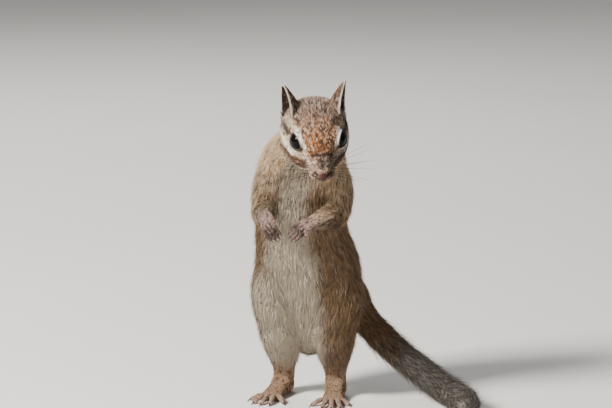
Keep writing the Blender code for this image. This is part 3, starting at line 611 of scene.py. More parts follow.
@dataclass
class Ear:
    """One ear: a thin cup that opens to the side and a little forwards."""

    side: int
    root: tuple[float, float, float] = (28.8, 11.3, 1.9)
    lean: tuple[float, float, float] = (-0.25, 0.095, 0.965)
    bow: float = 0.9
    opening: tuple[float, float, float] = (0.34, 0.94, 0.10)
    height: float = 21.6
    wall: float = 0.55
    arc: float = 104.0
    rows: int = 46
    columns: int = 41
    shape: tuple = (
        (0.00, 2.4, 5.0), (0.10, 5.6, 6.6), (0.22, 8.4, 7.2), (0.38, 9.7, 6.2), (0.56, 9.0, 4.7),
        (0.74, 7.2, 3.1), (0.88, 4.6, 1.8), (0.96, 2.6, 0.9), (1.00, 0.7, 0.3),
    )

    def __post_init__(self) -> None:
        """Works out the ear's axes: across the opening, out of it, and to the tip."""
        mirror = np.array((1.0, self.side, 1.0))
        tip = unit(HEAD.axes @ (np.array(self.lean) * mirror))
        mouth = HEAD.axes @ (np.array(self.opening) * mirror)
        mouth = unit(mouth - tip * float(mouth @ tip))
        self.axes = np.stack([np.cross(mouth, tip), mouth, tip], axis=1)
        self.origin = HEAD.place(self.root[0], self.side * self.root[1], self.root[2])
        outer_and_inner = self.shell()[0]
        self.tree = kdtree.KDTree(len(outer_and_inner))
        for i, spot in enumerate(outer_and_inner.tolist()):
            self.tree.insert(spot, i)
        self.tree.balance()

    def lookup(self, points: Array) -> tuple[Array, Array, Array, Array]:
        """Where on the ear each point is.

        Args:
            points: places near the ear.

        Returns:
            Share of the height, angle across the cup in degrees, 1 on its inner face, and the ear's distance.
        """
        found = [self.tree.find(spot) for spot in points.tolist()]
        index = np.array([item[1] for item in found], int)
        gap = np.array([item[2] for item in found])
        size = self.rows * self.columns
        on_face = index % size
        t, turn = self.grid()
        return t.ravel()[on_face], np.degrees(turn.ravel()[on_face]), (index >= size) * 1.0, gap

    def grid(self) -> tuple[Array, Array]:
        """Shares of the height and angles of the cup's points."""
        t = 1 - (1 - np.linspace(0, 1, self.rows)) ** 1.15
        turn = np.radians(self.arc) * np.linspace(-1, 1, self.columns)
        return np.meshgrid(t, turn, indexing="ij")

    def spot(self, t: Array, turn: Array, inwards: Array) -> Array:
        """Places on the cup: share of the height, angle across it, and depth from its outer face."""
        shape = np.array(self.shape)
        width = np.interp(t, shape[:, 0], shape[:, 1]) / 2
        depth = np.interp(t, shape[:, 0], shape[:, 2])
        flare = 1.0 + 0.05 * np.cos(3.0 * turn) * np.sin(math.pi * t)
        x = (width - inwards * 0.9) * np.sin(turn) * flare
        y = -(depth - inwards) * np.maximum(np.cos(turn), -0.12) - self.bow * np.sin(math.pi * t)
        z = self.height * t - inwards * 0.6 * t
        local = np.stack([x, y, z], axis=-1)
        return self.origin + local @ self.axes.T

    def shell(self) -> Shell:
        """The ear as a closed wall, thicker at the root."""
        grid_t, grid_turn = self.grid()
        wall = self.wall * (1.6 - 0.8 * grid_t) * (1.0 - 0.25 * np.abs(grid_turn / grid_turn.max()) ** 3)
        outer = self.spot(grid_t, grid_turn, 0.0 * grid_t).reshape(-1, 3)
        inner = self.spot(grid_t, grid_turn, wall).reshape(-1, 3)
        n, m = self.rows, self.columns
        size = n * m
        faces: list[tuple[int, ...]] = []
        for i in range(n - 1):
            for j in range(m - 1):
                a, b, c, d = i * m + j, i * m + j + 1, (i + 1) * m + j + 1, (i + 1) * m + j
                faces += [(a, d, c, b), (a + size, b + size, c + size, d + size)]
        for i in range(n - 1):
            for j in (0, m - 1):
                a, d = i * m + j, (i + 1) * m + j
                face = (a, a + size, d + size, d)
                faces.append(face if j == 0 else face[::-1])
        for i in (0, n - 1):
            for j in range(m - 1):
                a = i * m + j
                face = (a, a + 1, a + 1 + size, a + size)
                faces.append(face if i == 0 else face[::-1])
        return np.concatenate([outer, inner]), faces


EARS = {name: Ear(side) for name, side in SIDES.items()}


class Zone(Enum):
    """The parts of the body that the coat's lie, depth and colours go by."""

    HEAD = 0
    TRUNK = 1
    UPPER_ARM = 2
    FOREARM = 3
    PAW = 4
    THIGH = 5
    SHANK = 6
    FOOT = 7
    TAIL = 8


@dataclass(frozen=True)
class Line:
    """A line inside the body: its rows, and the coat that grows round it at its start and at its end."""

    zone: Zone
    side: int
    rows: tuple
    depth: tuple[float, float]
    length: tuple[float, float]
    width: tuple[float, float]
    wider: float = 1.0

    def nearest(self, points: Array) -> tuple[Array, Array, Array, Array]:
        """How each point lies to the line.

        Args:
            points: places.

        Returns:
            Distance as a share of the flesh's reach, share of the way along, direction and offset.
        """
        rows = np.array(self.rows, float)
        reach = rows[:, 3:].mean(axis=1) * self.wider
        steps = np.diff(rows[:, :3], axis=0)
        lengths = np.linalg.norm(steps, axis=1)
        at = np.concatenate([[0.0], np.cumsum(lengths)]) / lengths.sum()
        near = np.full(len(points), 1e9)
        share, way, offset = np.zeros(len(points)), np.zeros((len(points), 3)), np.zeros((len(points), 3))
        for i, step in enumerate(steps):
            t = np.clip((points - rows[i, :3]) @ step / lengths[i] ** 2, 0.0, 1.0)
            gap = points - rows[i, :3] - t[:, None] * step
            size = np.linalg.norm(gap, axis=1) / (reach[i] + (reach[i + 1] - reach[i]) * t)
            closer = size < near
            near[closer] = size[closer]
            share[closer] = at[i] + (at[i + 1] - at[i]) * t[closer]
            way[closer] = step / lengths[i]
            offset[closer] = gap[closer]
        return near, share, way, offset


def body_lines() -> list[Line]:
    """All the lines but the head's and the tail's, for both sides."""
    made = [Line(Zone.TRUNK, 0, TRUNK[::-1], (2.0, 2.3), (6.0, 7.8), (0.33, 0.36))]
    for arm in ARMS:
        side = SIDES[arm.side]
        tips = ((*arm.tips, 2.4, 1.6, 1.6),)
        made.append(Line(Zone.UPPER_ARM, side, arm.upper, (1.9, 1.3), (6.0, 4.6), (0.33, 0.31)))
        made.append(Line(Zone.FOREARM, side, arm.fore, (1.1, 0.45), (4.0, 2.0), (0.28, 0.20)))
        made.append(Line(Zone.PAW, side, arm.palm + tips, (0.16, 0.06), (1.2, 0.6), (0.15, 0.12), 1.45))
    for leg in LEGS:
        side, foot = SIDES[leg.side], Foot(leg)
        ankle = (*(foot.heel + UP * 9.0 + foot.along * 2.0), 4.6, 4.6, 4.6)
        sole = tuple((*(foot.heel + foot.along * d + UP * h), r, r, r) for d, h, r in foot.line())
        made.append(Line(Zone.THIGH, side, leg.thigh, (2.1, 1.9), (7.4, 6.2), (0.36, 0.35)))
        made.append(Line(Zone.SHANK, side, leg.shank + (ankle,), (1.7, 0.6), (5.4, 2.4), (0.34, 0.24)))
        made.append(Line(Zone.FOOT, side, sole, (0.34, 0.07), (1.9, 0.7), (0.20, 0.13)))
    return made


@dataclass
class TailLine:
    """The line of the tail, with the reach of its hair and of its core."""

    bare_root: tuple[float, float] = (0.13, 0.27)
    core_share: float = 0.42
    steps: int = 160

    def __post_init__(self) -> None:
        """Spreads the rows evenly."""
        self.rows = through(np.array(TAIL), self.steps)
        self.along = unit(np.gradient(self.rows[:, :3], axis=0))

    def core_reach(self) -> Array:
        """Reach of the flesh and the dense inner coat at each step."""
        share = np.linspace(0, 1, self.steps)
        start, end = self.bare_root
        long_hair = np.clip((share - start) / (end - start), 0.0, 1.0)
        coat = np.interp(share, (0.0, 0.13, 1.0), (2.3, 1.6, 1.0))
        reach = self.rows[:, 3] * (1 - (1 - self.core_share) * long_hair) - coat * (1 - long_hair)
        return np.maximum(reach, 0.7)

    def core(self) -> Shell:
        """The core as a closed tube."""
        reach = self.core_reach()
        last = int(self.steps * 0.93)
        keys = np.column_stack([self.rows[:, :3], reach, reach, reach])[:last:6]
        return tube(keys, UP, 60, 20, (1.0, 1.2))

    def nearest(self, points: Array) -> tuple[Array, Array]:
        """The step that is nearest to each point, and the distance from the line there."""
        step, best = np.zeros(len(points), int), np.full(len(points), 1e9)
        for i in range(0, self.steps, 2):
            distance = np.linalg.norm(points - self.rows[i, :3], axis=1)
            closer = distance < best
            best[closer] = distance[closer]
            step[closer] = i
        return step, best


TAIL_LINE = TailLine()


@dataclass
class Fields:
    """The coat at a set of points: its lie, depth, hair length and width, and where on the body they are."""

    flow: Array
    depth: Array
    length: Array
    width: Array
    weight: Array
    zone: Array
    side: Array
    share: Array
    angle: Array
    ear: Array
    ear_up: Array
    ear_turn: Array
    ear_inside: Array

    def on(self, zone: Zone) -> Array:
        """How much each point belongs to a zone, with soft borders."""
        return self.weight[:, zone.value]


HEAD_COAT = (
    # behind the nose, depth of the coat, length of a tuft, width of a tuft
    (0.0, 0.10, 0.7, 0.15),
    (4.0, 0.22, 1.1, 0.17),
    (9.0, 0.40, 1.6, 0.20),
    (15.0, 0.60, 2.1, 0.23),
    (22.0, 0.85, 2.8, 0.26),
    (30.0, 1.15, 3.9, 0.29),
    (42.0, 1.80, 5.6, 0.33),
)


def head_nearness(points: Array) -> Array:
    """Distance from the head's middle line as a share of the head's reach, about 1 at its surface."""
    back, left, up = HEAD.inside(points)
    rows = np.array(HEAD_ROWS)
    at = np.clip(back, rows[0, 0], rows[-1, 0])
    rise = up - np.interp(at, rows[:, 0], rows[:, 2])
    wide, over, under = (np.interp(at, rows[:, 0], rows[:, k]) for k in (3, 4, 5))
    beyond = np.where(back > at, (back - at) / 9.0, (at - back) / 2.0)
    return np.sqrt((left / wide) ** 2 + (rise / np.where(rise > 0, over, under)) ** 2 + beyond**2)


def around_eyes(points: Array, flow: Array) -> tuple[Array, Array]:
    """Turns the lie of the coat aside from the eyes.

    Args:
        points: places on the skin.
        flow: the lie before.

    Returns:
        The lie after, and a share that falls to 0 at the lids.
    """
    clear = np.ones(len(points))
    for eye in EYES.values():
        edge = eye.edge_distance(points)
        near = (1 - ramp(edge, 0.6, 4.5)) * (edge < FAR)
        local = eye.local(points)
        outward = unit(np.column_stack([local[:, :2], 0 * local[:, 0]])) @ eye.axes.T
        around = np.cross(np.broadcast_to(eye.axes[:, 2], outward.shape), outward)
        inward = np.minimum(dot(flow, outward), 0.0)
        turn = np.where(dot(flow, around) < 0, -1.0, 1.0)
        bent = flow - inward * outward * 1.35 - inward * turn * around * 0.8
        flow = unit(flow + (bent - flow) * near[:, None])
        clear = np.minimum(clear, np.where(edge < FAR, ramp(edge, 0.3, 4.0), 1.0))
    return flow, clear


def coat_fields(points: Array) -> Fields:
    """Blends the coats of all the lines by how near each point is to each.

    Args:
        points: places on the skin.

    Returns:
        The fields at those places. The flow isn't yet laid on the surface.
    """
    count = len(points)
    back, _, up = HEAD.inside(points)
    weight, flow, sums = np.zeros((count, len(Zone))), np.zeros((count, 3)), np.zeros((count, 4))
    side, share = np.zeros((count, len(Zone)), int), np.zeros((count, len(Zone)))
    angle = np.zeros((count, len(Zone)))

    def add(line: Line | None, near: Array, way: Array, coat: Array, at: Array, offset: Array) -> None:
        """Adds one line's coat, weighted by its nearness."""
        soft = 1.0 / np.maximum(near, 0.3) ** 6
        flow[:] += way * soft[:, None]
        sums[:, :3] += coat * soft[:, None]
        sums[:, 3] += soft
        zone = line.zone.value if line else Zone.HEAD.value
        sharp = 1.0 / np.maximum(near, 0.3) ** 14
        closer = sharp > weight[:, zone]
        weight[closer, zone] = sharp[closer]
        side[closer, zone] = line.side if line else 0
        share[closer, zone] = at[closer]
        axis = unit(np.array(way[0])) if line else HEAD.forward
        sideways = unit(np.cross(axis, HEAD.up if line is None else np.array((0.13, 0.97, 0.21))))
        angle[closer, zone] = np.arctan2(offset[closer] @ np.cross(axis, sideways), offset[closer] @ sideways)

    table = np.array(HEAD_COAT)
    below = ramp(-up, 3.0, 9.0) * ramp(back, 8.0, 16.0)
    coat = np.stack([np.interp(back, table[:, 0], table[:, k]) for k in (1, 2, 3)], axis=1)
    coat[:, 0] += 0.6 * below
    coat[:, 1] += 1.5 * below
    turned = ramp(back, 24.0, 40.0)[:, None]
    way = unit(points - HEAD.place(-5.0, 0.0, -1.0)) * (1 - turned) + np.array((-0.1, 0.55, -0.83)) * turned
    offset = points - HEAD.nose_tip + HEAD.forward * back[:, None]
    add(None, head_nearness(points), way, coat, np.clip(back / 42.0, 0, 1), offset)
    for line in body_lines():
        near, at, way, offset = line.nearest(points)
        ends = np.array((line.depth, line.length, line.width))
        coat = ends[:, 0] + np.outer(at, ends[:, 1] - ends[:, 0])
        add(line, near, way, coat, at, offset)
    flow = unit(flow)
    sums = sums[:, :3] / sums[:, 3:]

    step, distance = TAIL_LINE.nearest(points)
    tail_share = step / (TAIL_LINE.steps - 1)
    core = TAIL_LINE.core_reach()[step]
    on_tail = np.where(distance < core + 1.4, ramp(tail_share, 0.07, 0.19), 0.0)
    hair = np.stack([
        TAIL_LINE.rows[step, 3] - core,
        np.interp(tail_share, (0.1, 0.3, 0.75, 1.0), (7.5, 12.0, 14.0, 10.0)),
        0.0 * core + 0.36,
    ], axis=1)
    blend = on_tail[:, None]
    flow = unit(flow * (1 - blend) + TAIL_LINE.along[step] * blend)
    sums = sums * (1 - blend) + hair * blend
    weight /= weight.sum(axis=1, keepdims=True)
    weight *= 1 - blend
    weight[:, Zone.TAIL.value] = on_tail
    share[:, Zone.TAIL.value] = tail_share
    offset = points - TAIL_LINE.rows[step, :3]
    angle[:, Zone.TAIL.value] = np.arctan2(offset[:, 2], offset @ np.array((0.7, 0.7, 0.0)))

    flow, clear = around_eyes(points, flow)
    sums[:, 0] *= 0.25 + 0.75 * clear
    sums[:, 1] *= 0.40 + 0.60 * clear

    ear_side, ear_up, ear_turn, ear_inside = (np.zeros(count) for _ in range(4))
    for ear in EARS.values():
        near = np.flatnonzero(np.linalg.norm(points - ear.origin - ear.axes[:, 2] * 11.0, axis=1) < 17.0)
        t, turn, inside, gap = ear.lookup(points[near])
        found = (gap < 0.62) & (t > 0.10)
        near, t, turn, inside = near[found], t[found], turn[found], inside[found]
        ear_side[near], ear_up[near], ear_turn[near], ear_inside[near] = ear.side, t, turn, inside
        rise = ramp(t, 0.14, 0.34)[:, None]
        sweep = unit(ear.axes[:, 2] - ear.axes[:, 1] * 0.25)
        flow[near] = unit(flow[near] * (1 - rise) + sweep * rise)
        thin = np.stack([0.16 - 0.06 * inside, 1.3 - 0.3 * inside, 0.15 + 0 * t], axis=1)
        sums[near] = sums[near] * (1 - rise) + thin * rise
    zone = weight.argmax(axis=1)
    rows = np.arange(count)
    return Fields(
        flow, sums[:, 0], sums[:, 1], sums[:, 2], weight, zone, side[rows, zone], share, angle[rows, zone],
        ear_side.astype(int), ear_up, ear_turn, ear_inside,
    )


@dataclass(frozen=True)
class Palette:
    """Colours of the coat and the bare skin, as linear red, green and blue."""

    crown: tuple = (0.34, 0.20, 0.135)
    rust: tuple = (0.37, 0.145, 0.045)
    pale_stripe: tuple = (0.90, 0.82, 0.72)
    eye_line: tuple = (0.060, 0.034, 0.022)
    cheek_stripe: tuple = (0.15, 0.060, 0.024)
    # also laid beside the nostrils, partly as painted shade
    bridge: tuple = (0.15, 0.078, 0.045)
    muzzle: tuple = (0.38, 0.25, 0.175)
    cheek: tuple = (0.50, 0.385, 0.26)
    throat: tuple = (0.33, 0.27, 0.185)
    nape: tuple = (0.70, 0.50, 0.31)
    chest: tuple = (0.50, 0.43, 0.335)
    belly: tuple = (0.53, 0.46, 0.355)
    flank: tuple = (0.20, 0.120, 0.060)
    back: tuple = (0.20, 0.128, 0.072)
    upper_arm: tuple = (0.50, 0.36, 0.235)
    dark_stripe: tuple = (0.026, 0.018, 0.014)
    back_pale: tuple = (0.56, 0.46, 0.34)
    forearm: tuple = (0.44, 0.315, 0.215)
    foot: tuple = (0.46, 0.285, 0.175)
    toes: tuple = (0.56, 0.385, 0.31)
    lore: tuple = (0.44, 0.31, 0.21)
    # dark fingers, partly their own colour, partly painted shade
    finger: tuple = (0.12, 0.062, 0.052)
    tail_root: tuple = (0.20, 0.115, 0.055)
    tail_grey: tuple = (0.24, 0.215, 0.185)
    skin_pink: tuple = (0.44, 0.28, 0.245)
    palm_dark: tuple = (0.13, 0.07, 0.060)
    nose_pink: tuple = (0.062, 0.019, 0.015)
    ear_inside: tuple = (0.060, 0.030, 0.021)
    ear_front: tuple = (0.22, 0.125, 0.075)
    ear_back: tuple = (0.14, 0.080, 0.040)
    ear_rim: tuple = (0.74, 0.66, 0.60)
    # dark hairs, and also the painted shade in the fold, the mouth line, the nostrils and between the fingers
    dark: tuple = (0.030, 0.020, 0.015)
    light: tuple = (0.86, 0.73, 0.58)


PALETTE = Palette()


class MarkingsAndPaintedLight:
    """The stripes and patches, with painted shade and painted light, shared by the skin and the coat."""

    trunk_reach = 19.0
    lid_skin = 0.55

    def __init__(self, points: Array, fields: Fields) -> None:
        """Works out the colour, the share of dark and of light hairs, and how bare the skin is.

        Args:
            points: places on the skin.
            fields: the coat's fields there.
        """
        self.points, self.fields = points, fields
        self.colour = np.tile(np.array(PALETTE.flank), (len(points), 1))
        self.dark = np.full(len(points), 0.20)
        self.light = np.full(len(points), 0.09)
        self.bare = np.zeros(len(points))
        self.trunk()
        self.limbs()
        self.tail()
        self.head()
        self.ears()

    def paint(
        self, colour: tuple, mask: Array, dark: float | None = None, light: float | None = None
    ) -> None:
        """Lays a colour, and its shares of dark and light hairs, over the others where the mask is 1."""
        mask = np.clip(mask, 0.0, 1.0)
        self.colour = self.colour * (1 - mask[:, None]) + np.array(colour) * mask[:, None]
        if dark is not None:
            self.dark = self.dark * (1 - mask) + dark * mask
        if light is not None:
            self.light = self.light * (1 - mask) + light * mask

    def trunk(self) -> None:
        """Pale front, ochre sides and the five dark stripes of the back."""
        p = self.points
        yaw = np.radians(np.interp(p[:, 2], (30, 60, 92, 118), (27.0, 27.0, 18.0, NECK_YAW)))
        middle_x = np.interp(p[:, 2], (22, 43, 56, 68, 80, 101, 115), (1.5, 2.5, 0.9, -1.7, -2.4, -0.7, 2.5))
        middle_y = np.interp(p[:, 2], (22, 56, 80, 101, 115), (9.0, 7.6, 6.0, 4.0, -3.2))
        x, y = p[:, 0] - middle_x, p[:, 1] - middle_y
        ahead = -np.sin(yaw) * x - np.cos(yaw) * y
        left = np.cos(yaw) * x - np.sin(yaw) * y
        turn = np.degrees(np.arctan2(left, ahead))
        wobble = 3.0 * np.sin(p[:, 2] * 0.35 + 1.0) + 2.0 * np.sin(p[:, 2] * 0.83)
        half = np.interp(p[:, 2], (40.0, 62.0, 86.0, 104.0), (38.0, 37.0, 28.0, 30.0))
        front = 1.0 - ramp(np.abs(turn) + wobble, half - 18.0, half + 16.0)
        self.paint(PALETTE.back, ramp(np.abs(turn), 85.0, 125.0), 0.30, 0.16)
        nape = ramp(p[:, 2], 92.0, 104.0) * (1 - ramp(np.abs(turn), 110.0, 140.0))
        self.paint(PALETTE.nape, nape, 0.20, 0.24)
        self.paint(PALETTE.chest, front, 0.08, 0.24)
        self.paint(PALETTE.belly, front * ramp(-p[:, 2], -86.0, -70.0), 0.02, 0.16)
        self.paint(PALETTE.throat, front * ramp(p[:, 2], 95.0, 104.0), 0.14, 0.2)
        from_spine = np.radians(180.0 - np.abs(turn)) * self.trunk_reach
        length = ramp(p[:, 2], 32.0, 42.0) * (1 - ramp(p[:, 2], 112.0, 121.0))
        length = length * (1 - ramp(self.fields.share[:, Zone.TAIL.value], 0.04, 0.11) * (p[:, 2] < 60))
        spread = np.interp(p[:, 2], (34, 60, 100, 116), (0.62, 1.0, 0.95, 0.55))
        from_spine = from_spine / spread
        for centre, reach in ((0.0, 1.5), (5.6, 1.4), (10.9, 1.3)):
            self.paint(PALETTE.dark_stripe, band(from_spine, centre, reach) * length, 0.6, 0.02)
        for centre in (2.9, 8.3):
            self.paint(PALETTE.back_pale, band(from_spine, centre, 1.25) * length, 0.10, 0.22)

    def limbs(self) -> None:
        """Arms, legs, paws and feet, with painted light on the right arm and thigh and painted shade on and
        between the fingers.
        """
        f, p = self.fields, self.points
        share = {zone: f.share[:, zone.value] for zone in Zone}
        forearm, paw, foot = f.on(Zone.FOREARM), f.on(Zone.PAW), f.on(Zone.FOOT)
        thigh, shank = f.on(Zone.THIGH), f.on(Zone.SHANK)
        # Painted light: the right arm, on the lit side, takes much more of the pale upper-arm colour than the
        # left.
        painted_sunlight_share = np.where(f.side < 0, 0.85, 0.35)
        self.paint(PALETTE.upper_arm, f.on(Zone.UPPER_ARM) * painted_sunlight_share, 0.2, 0.22)
        self.paint(PALETTE.forearm, forearm * ramp(share[Zone.FOREARM], 0.1, 0.9), 0.24, 0.28)
        self.paint(PALETTE.skin_pink, paw + forearm * ramp(share[Zone.FOREARM], 0.85, 1.0), 0.24, 0.35)
        # The pale inner side of each leg is its own colour; on the right leg the pale reaches far round the
        # outside too, which is painted light on the lit side.
        edge = np.where(f.side < 0, np.interp(p[:, 2], (10, 34, 55), (1.5, 4.5, 12.0)), -4.6)
        centre = np.interp(p[:, 2], (8, 30, 55), (12.6, 12.7, 12.6))
        inner = 1 - ramp(np.abs(p[:, 0]), centre + edge - 3.0, centre + edge + 2.0)
        front = 1 - ramp(p[:, 1], -2.0, 6.0)
        pale_leg_and_painted_light = (thigh + shank * (1 - ramp(share[Zone.SHANK], 0.6, 1.0))) * inner * front
        self.paint(PALETTE.belly, pale_leg_and_painted_light, 0.06, 0.12)
        self.paint(PALETTE.foot, foot + shank * ramp(share[Zone.SHANK], 0.45, 1.0), 0.20, 0.32)
        toes = foot * ramp(share[Zone.FOOT], 0.55, 0.75)
        self.paint(PALETTE.toes, toes * 0.8)
        under = foot * ramp(-p[:, 2], -1.5, -0.6)
        palm = np.zeros(len(p))
        for arm in ARMS:
            mine = paw * (f.side == SIDES[arm.side])
            middle = np.array(arm.palm[1][:3])
            palm = palm + mine * ramp(-(p - middle) @ unit(np.array(arm.back_of_hand)), -0.2, 1.2)
        tips = paw * ramp(share[Zone.PAW], 0.80, 0.98)
        # Dark fingers: partly their own colour, partly painted shade.
        self.paint(PALETTE.finger, paw * ramp(share[Zone.PAW], 0.46, 0.62))
        self.paint(PALETTE.palm_dark, palm * 0.7)
        # Painted shade between the fingers.
        self.paint(PALETTE.dark, self.finger_gap_shade() * paw * 0.85)
        toe_tips = toes * ramp(share[Zone.FOOT], 0.86, 0.97)
        self.bare = np.maximum.reduce([self.bare, under, palm, toe_tips, tips])

    def finger_gap_shade(self) -> Array:
        """Painted shade along the gaps between the fingers."""
        p = self.points
        made = np.zeros(len(p))
        for arm in ARMS:
            gaps = []
            for digit in hand_digits(arm)[:4]:
                step = digit.end - digit.start
                t = np.clip((p - digit.start) @ step / (step @ step), 0.0, 1.0)
                gaps.append(np.linalg.norm(p - digit.start - t[:, None] * step, axis=1))
            first, second = np.sort(np.array(gaps), axis=0)[:2]
            made = np.maximum(made, (1 - ramp(second - first, 0.15, 0.5)) * (first < 2.5))
        return made

    def tail(self) -> None:
        """Brown at the root, then grizzled grey."""
        tail, share = self.fields.on(Zone.TAIL), self.fields.share[:, Zone.TAIL.value]
        self.paint(PALETTE.tail_root, tail, 0.25, 0.10)
        self.paint(PALETTE.tail_grey, tail * ramp(share, 0.30, 0.55), 0.25, 0.3)

    def head(self) -> None:
        """Rust forehead, grizzled crown, pale stripes, dark eye line, chestnut cheek, nose and mouth, with
        painted shade in the fold over the bridge, along the mouth line, in the nostrils and partly beside
        them.
        """
        p = self.points
        back, left, up = HEAD.inside(p)
        head = ramp(self.fields.on(Zone.HEAD), 0.25, 0.75)
        rows = np.array(HEAD_ROWS)
        size = np.interp(back, rows[:, 0], rows[:, 3])
        angle = np.degrees(np.arctan2(up + 0.5, np.abs(left)))

        def stripe(path: tuple, half: tuple, soft: float = 0.45) -> Array:
            """A stripe along a path of places behind the nose and angles above the side."""
            at, turns = zip(*path)
            ends = ramp(back, at[0] - 0.5, at[0] + 1.5) * (1 - ramp(back, at[-1] - 6.0, at[-1]))
            offset = np.radians(angle - np.interp(back, at, turns)) * size
            return band(offset, 0.0, np.interp(back, at, half), soft) * ends

        self.paint(PALETTE.cheek, head, 0.20, 0.26)
        self.paint(PALETTE.nape, head * ramp(back, 26.0, 34.0) * ramp(angle, -40.0, 0.0), 0.2, 0.24)
        throat = ramp(-angle, 42.0, 66.0) * ramp(back, 6.0, 12.0) * (1 - ramp(back, 26.0, 33.0))
        self.paint(PALETTE.throat, head * throat, 0.10, 0.22)
        edges = (34, 48, 42, 30), (42, 54, 52, 48)
        low, high = (np.interp(back, (8, 14, 24, 34), turns) for turns in edges)
        top = ramp(angle, low, high)
        self.paint(PALETTE.crown, head * top, 0.36, 0.34)
        warm = top * (1 - ramp(back, 11.0, 25.0)) * ramp(back, 5.8, 6.8)
        self.paint(PALETTE.rust, head * warm, 0.46, 0.20)
        self.paint(PALETTE.muzzle, head * (1 - ramp(back, 5.5, 8.5)) * (1 - warm), 0.30, 0.26)
        lore = (1 - top) * band(back, 9.5, 3.0, 2.0) * band(angle, 18.0, 16.0, 8.0)
        self.paint(PALETTE.lore, head * lore, 0.34, 0.30)
        ridge = ramp(angle, 50.0, 68.0) * (1 - ramp(back, 5.8, 6.8)) * ramp(back, 0.8, 2.0)
        self.paint(PALETTE.bridge, head * ridge * 0.85, 0.25, 0.15)
        chestnut = stripe(
            ((7.5, -14), (10.5, -14), (14.5, -15), (20, -14), (24.5, -17), (28, -20), (34, -20)),
            (1.3, 2.4, 3.2, 3.2, 2.6, 2.1, 1.5),
            0.7,
        )
        self.paint(PALETTE.cheek_stripe, head * chestnut, 0.55, 0.05)
        under = stripe(
            ((13.8, 1), (15.0, 1), (16.5, 2), (18.6, 6), (21.5, 12), (26, 10), (33, 6)),
            (0.5, 0.7, 0.8, 0.8, 0.75, 0.7, 0.6),
        )
        self.paint(PALETTE.pale_stripe, head * under * (1 - 0.35 * ramp(back, 19.0, 24.0)), 0.14, 0.3)
        over = stripe(
            ((10.0, 33), (12, 40), (15.2, 50), (18, 50), (20.7, 47), (25, 42), (32, 36)),
            (0.4, 0.6, 0.8, 0.8, 0.8, 0.7, 0.5),
        )
        self.paint(PALETTE.pale_stripe, head * over * (1 - 0.85 * ramp(back, 17.0, 22.5)), 0.12, 0.3)
        line = stripe(((18.8, 31), (21, 30), (26, 27), (33, 22)), (0.7, 1.1, 1.2, 1.0))
        self.paint(PALETTE.eye_line, head * line * 0.9, 0.5, 0.0)
        for eye in EYES.values():
            edge, local = eye.edge_distance(p), eye.local(p)
            corner = 1 - 0.85 * ramp(np.abs(local[:, 0]), 2.2, 3.9)
            reach = 0.75 + 0.40 * ramp(local[:, 1] * eye.side, -1.0, 2.0)
            ring = head * (edge < FAR) * (1 - ramp(edge / reach, 0.8, 1.5)) * corner
            self.paint(PALETTE.pale_stripe, ring, 0.08, 0.2)
            self.paint(PALETTE.dark, (edge < FAR) * (1 - ramp(edge, 0.30, 0.62)))
            self.bare = np.maximum(self.bare, (edge < self.lid_skin) * 1.0)
        # Painted shade in the fold across the bridge.
        fold = band(back, 6.2 + 0.035 * np.maximum(90 - angle, 0), 0.42, 0.3) * ramp(angle, 36.0, 50.0)
        self.paint(PALETTE.dark, head * fold * 0.9, 0.8, 0.0)
        median = band(left, 0.0, 0.30 + 0.16 * back, 0.3) * ramp(up, 0.4, 1.4)
        median = median * (1 - ramp(back, 3.6, 5.4)) * ramp(back, 0.4, 1.2)
        self.paint(PALETTE.dark, head * median * 0.8, 0.5, 0.0)
        from_pad = np.sqrt((back - 0.1) ** 2 + (left * 0.85) ** 2 + (up + 1.3) ** 2)
        pad = head * (1 - ramp(from_pad, 2.1, 2.5))
        self.paint(PALETTE.nose_pink, pad)
        # Painted shade along the mouth line.
        mouth = head * band(up, -4.2 - 0.1 * back, 0.45, 0.3) * (1 - ramp(back, 6.5, 8.5))
        self.paint(PALETTE.dark, mouth * 0.75)
        for side in SIDES.values():
            # A dark patch beside each nostril: partly dark hair of the muzzle, partly painted shade.
            wing = (left * side - 2.9) ** 2 + (up + 0.9) ** 2 + (back - 1.6) ** 2
            self.paint(PALETTE.bridge, (1 - ramp(wing, 0.5, 2.6)) * head * 0.85, 0.5, 0.05)
            # Painted shade in the nostrils.
            nostril_shade = ((left * side - 2.45) / 0.80) ** 2 + ((up + 0.35 - 0.4 * (left * side - 2.45)) / 0.55) ** 2
            self.paint(PALETTE.dark, (1 - ramp(nostril_shade, 0.7, 1.5)) * (back < 3.2) * head)
        self.bare = np.maximum(self.bare, pad)

    def ears(self) -> None:
        """Dark inside, brown back, pale front and rim."""
        f = self.fields
        on = (f.ear != 0) * ramp(f.ear_up, 0.12, 0.24)
        first = np.where(f.ear_turn * f.ear > 0, 86.0, 95.0)
        edge = ramp(np.abs(f.ear_turn), first, first + 7.0) * (0.35 + 0.65 * ramp(f.ear_up, 0.2, 0.45))
        edge = np.maximum(edge, ramp(f.ear_up, 0.93, 0.97))
        front = ramp(f.ear_turn * f.ear, 10.0, 50.0)
        self.paint(PALETTE.ear_back, on * (1 - f.ear_inside), 0.30, 0.16)
        self.paint(PALETTE.ear_front, on * (1 - f.ear_inside) * front * ramp(f.ear_up, 0.3, 0.55), 0.34, 0.18)
        self.paint(PALETTE.ear_inside, on * f.ear_inside, 0.2, 0.1)
        self.paint(PALETTE.ear_rim, on * edge, 0.0, 0.3)
        self.bare = np.maximum(self.bare, on * f.ear_inside * 0.55)


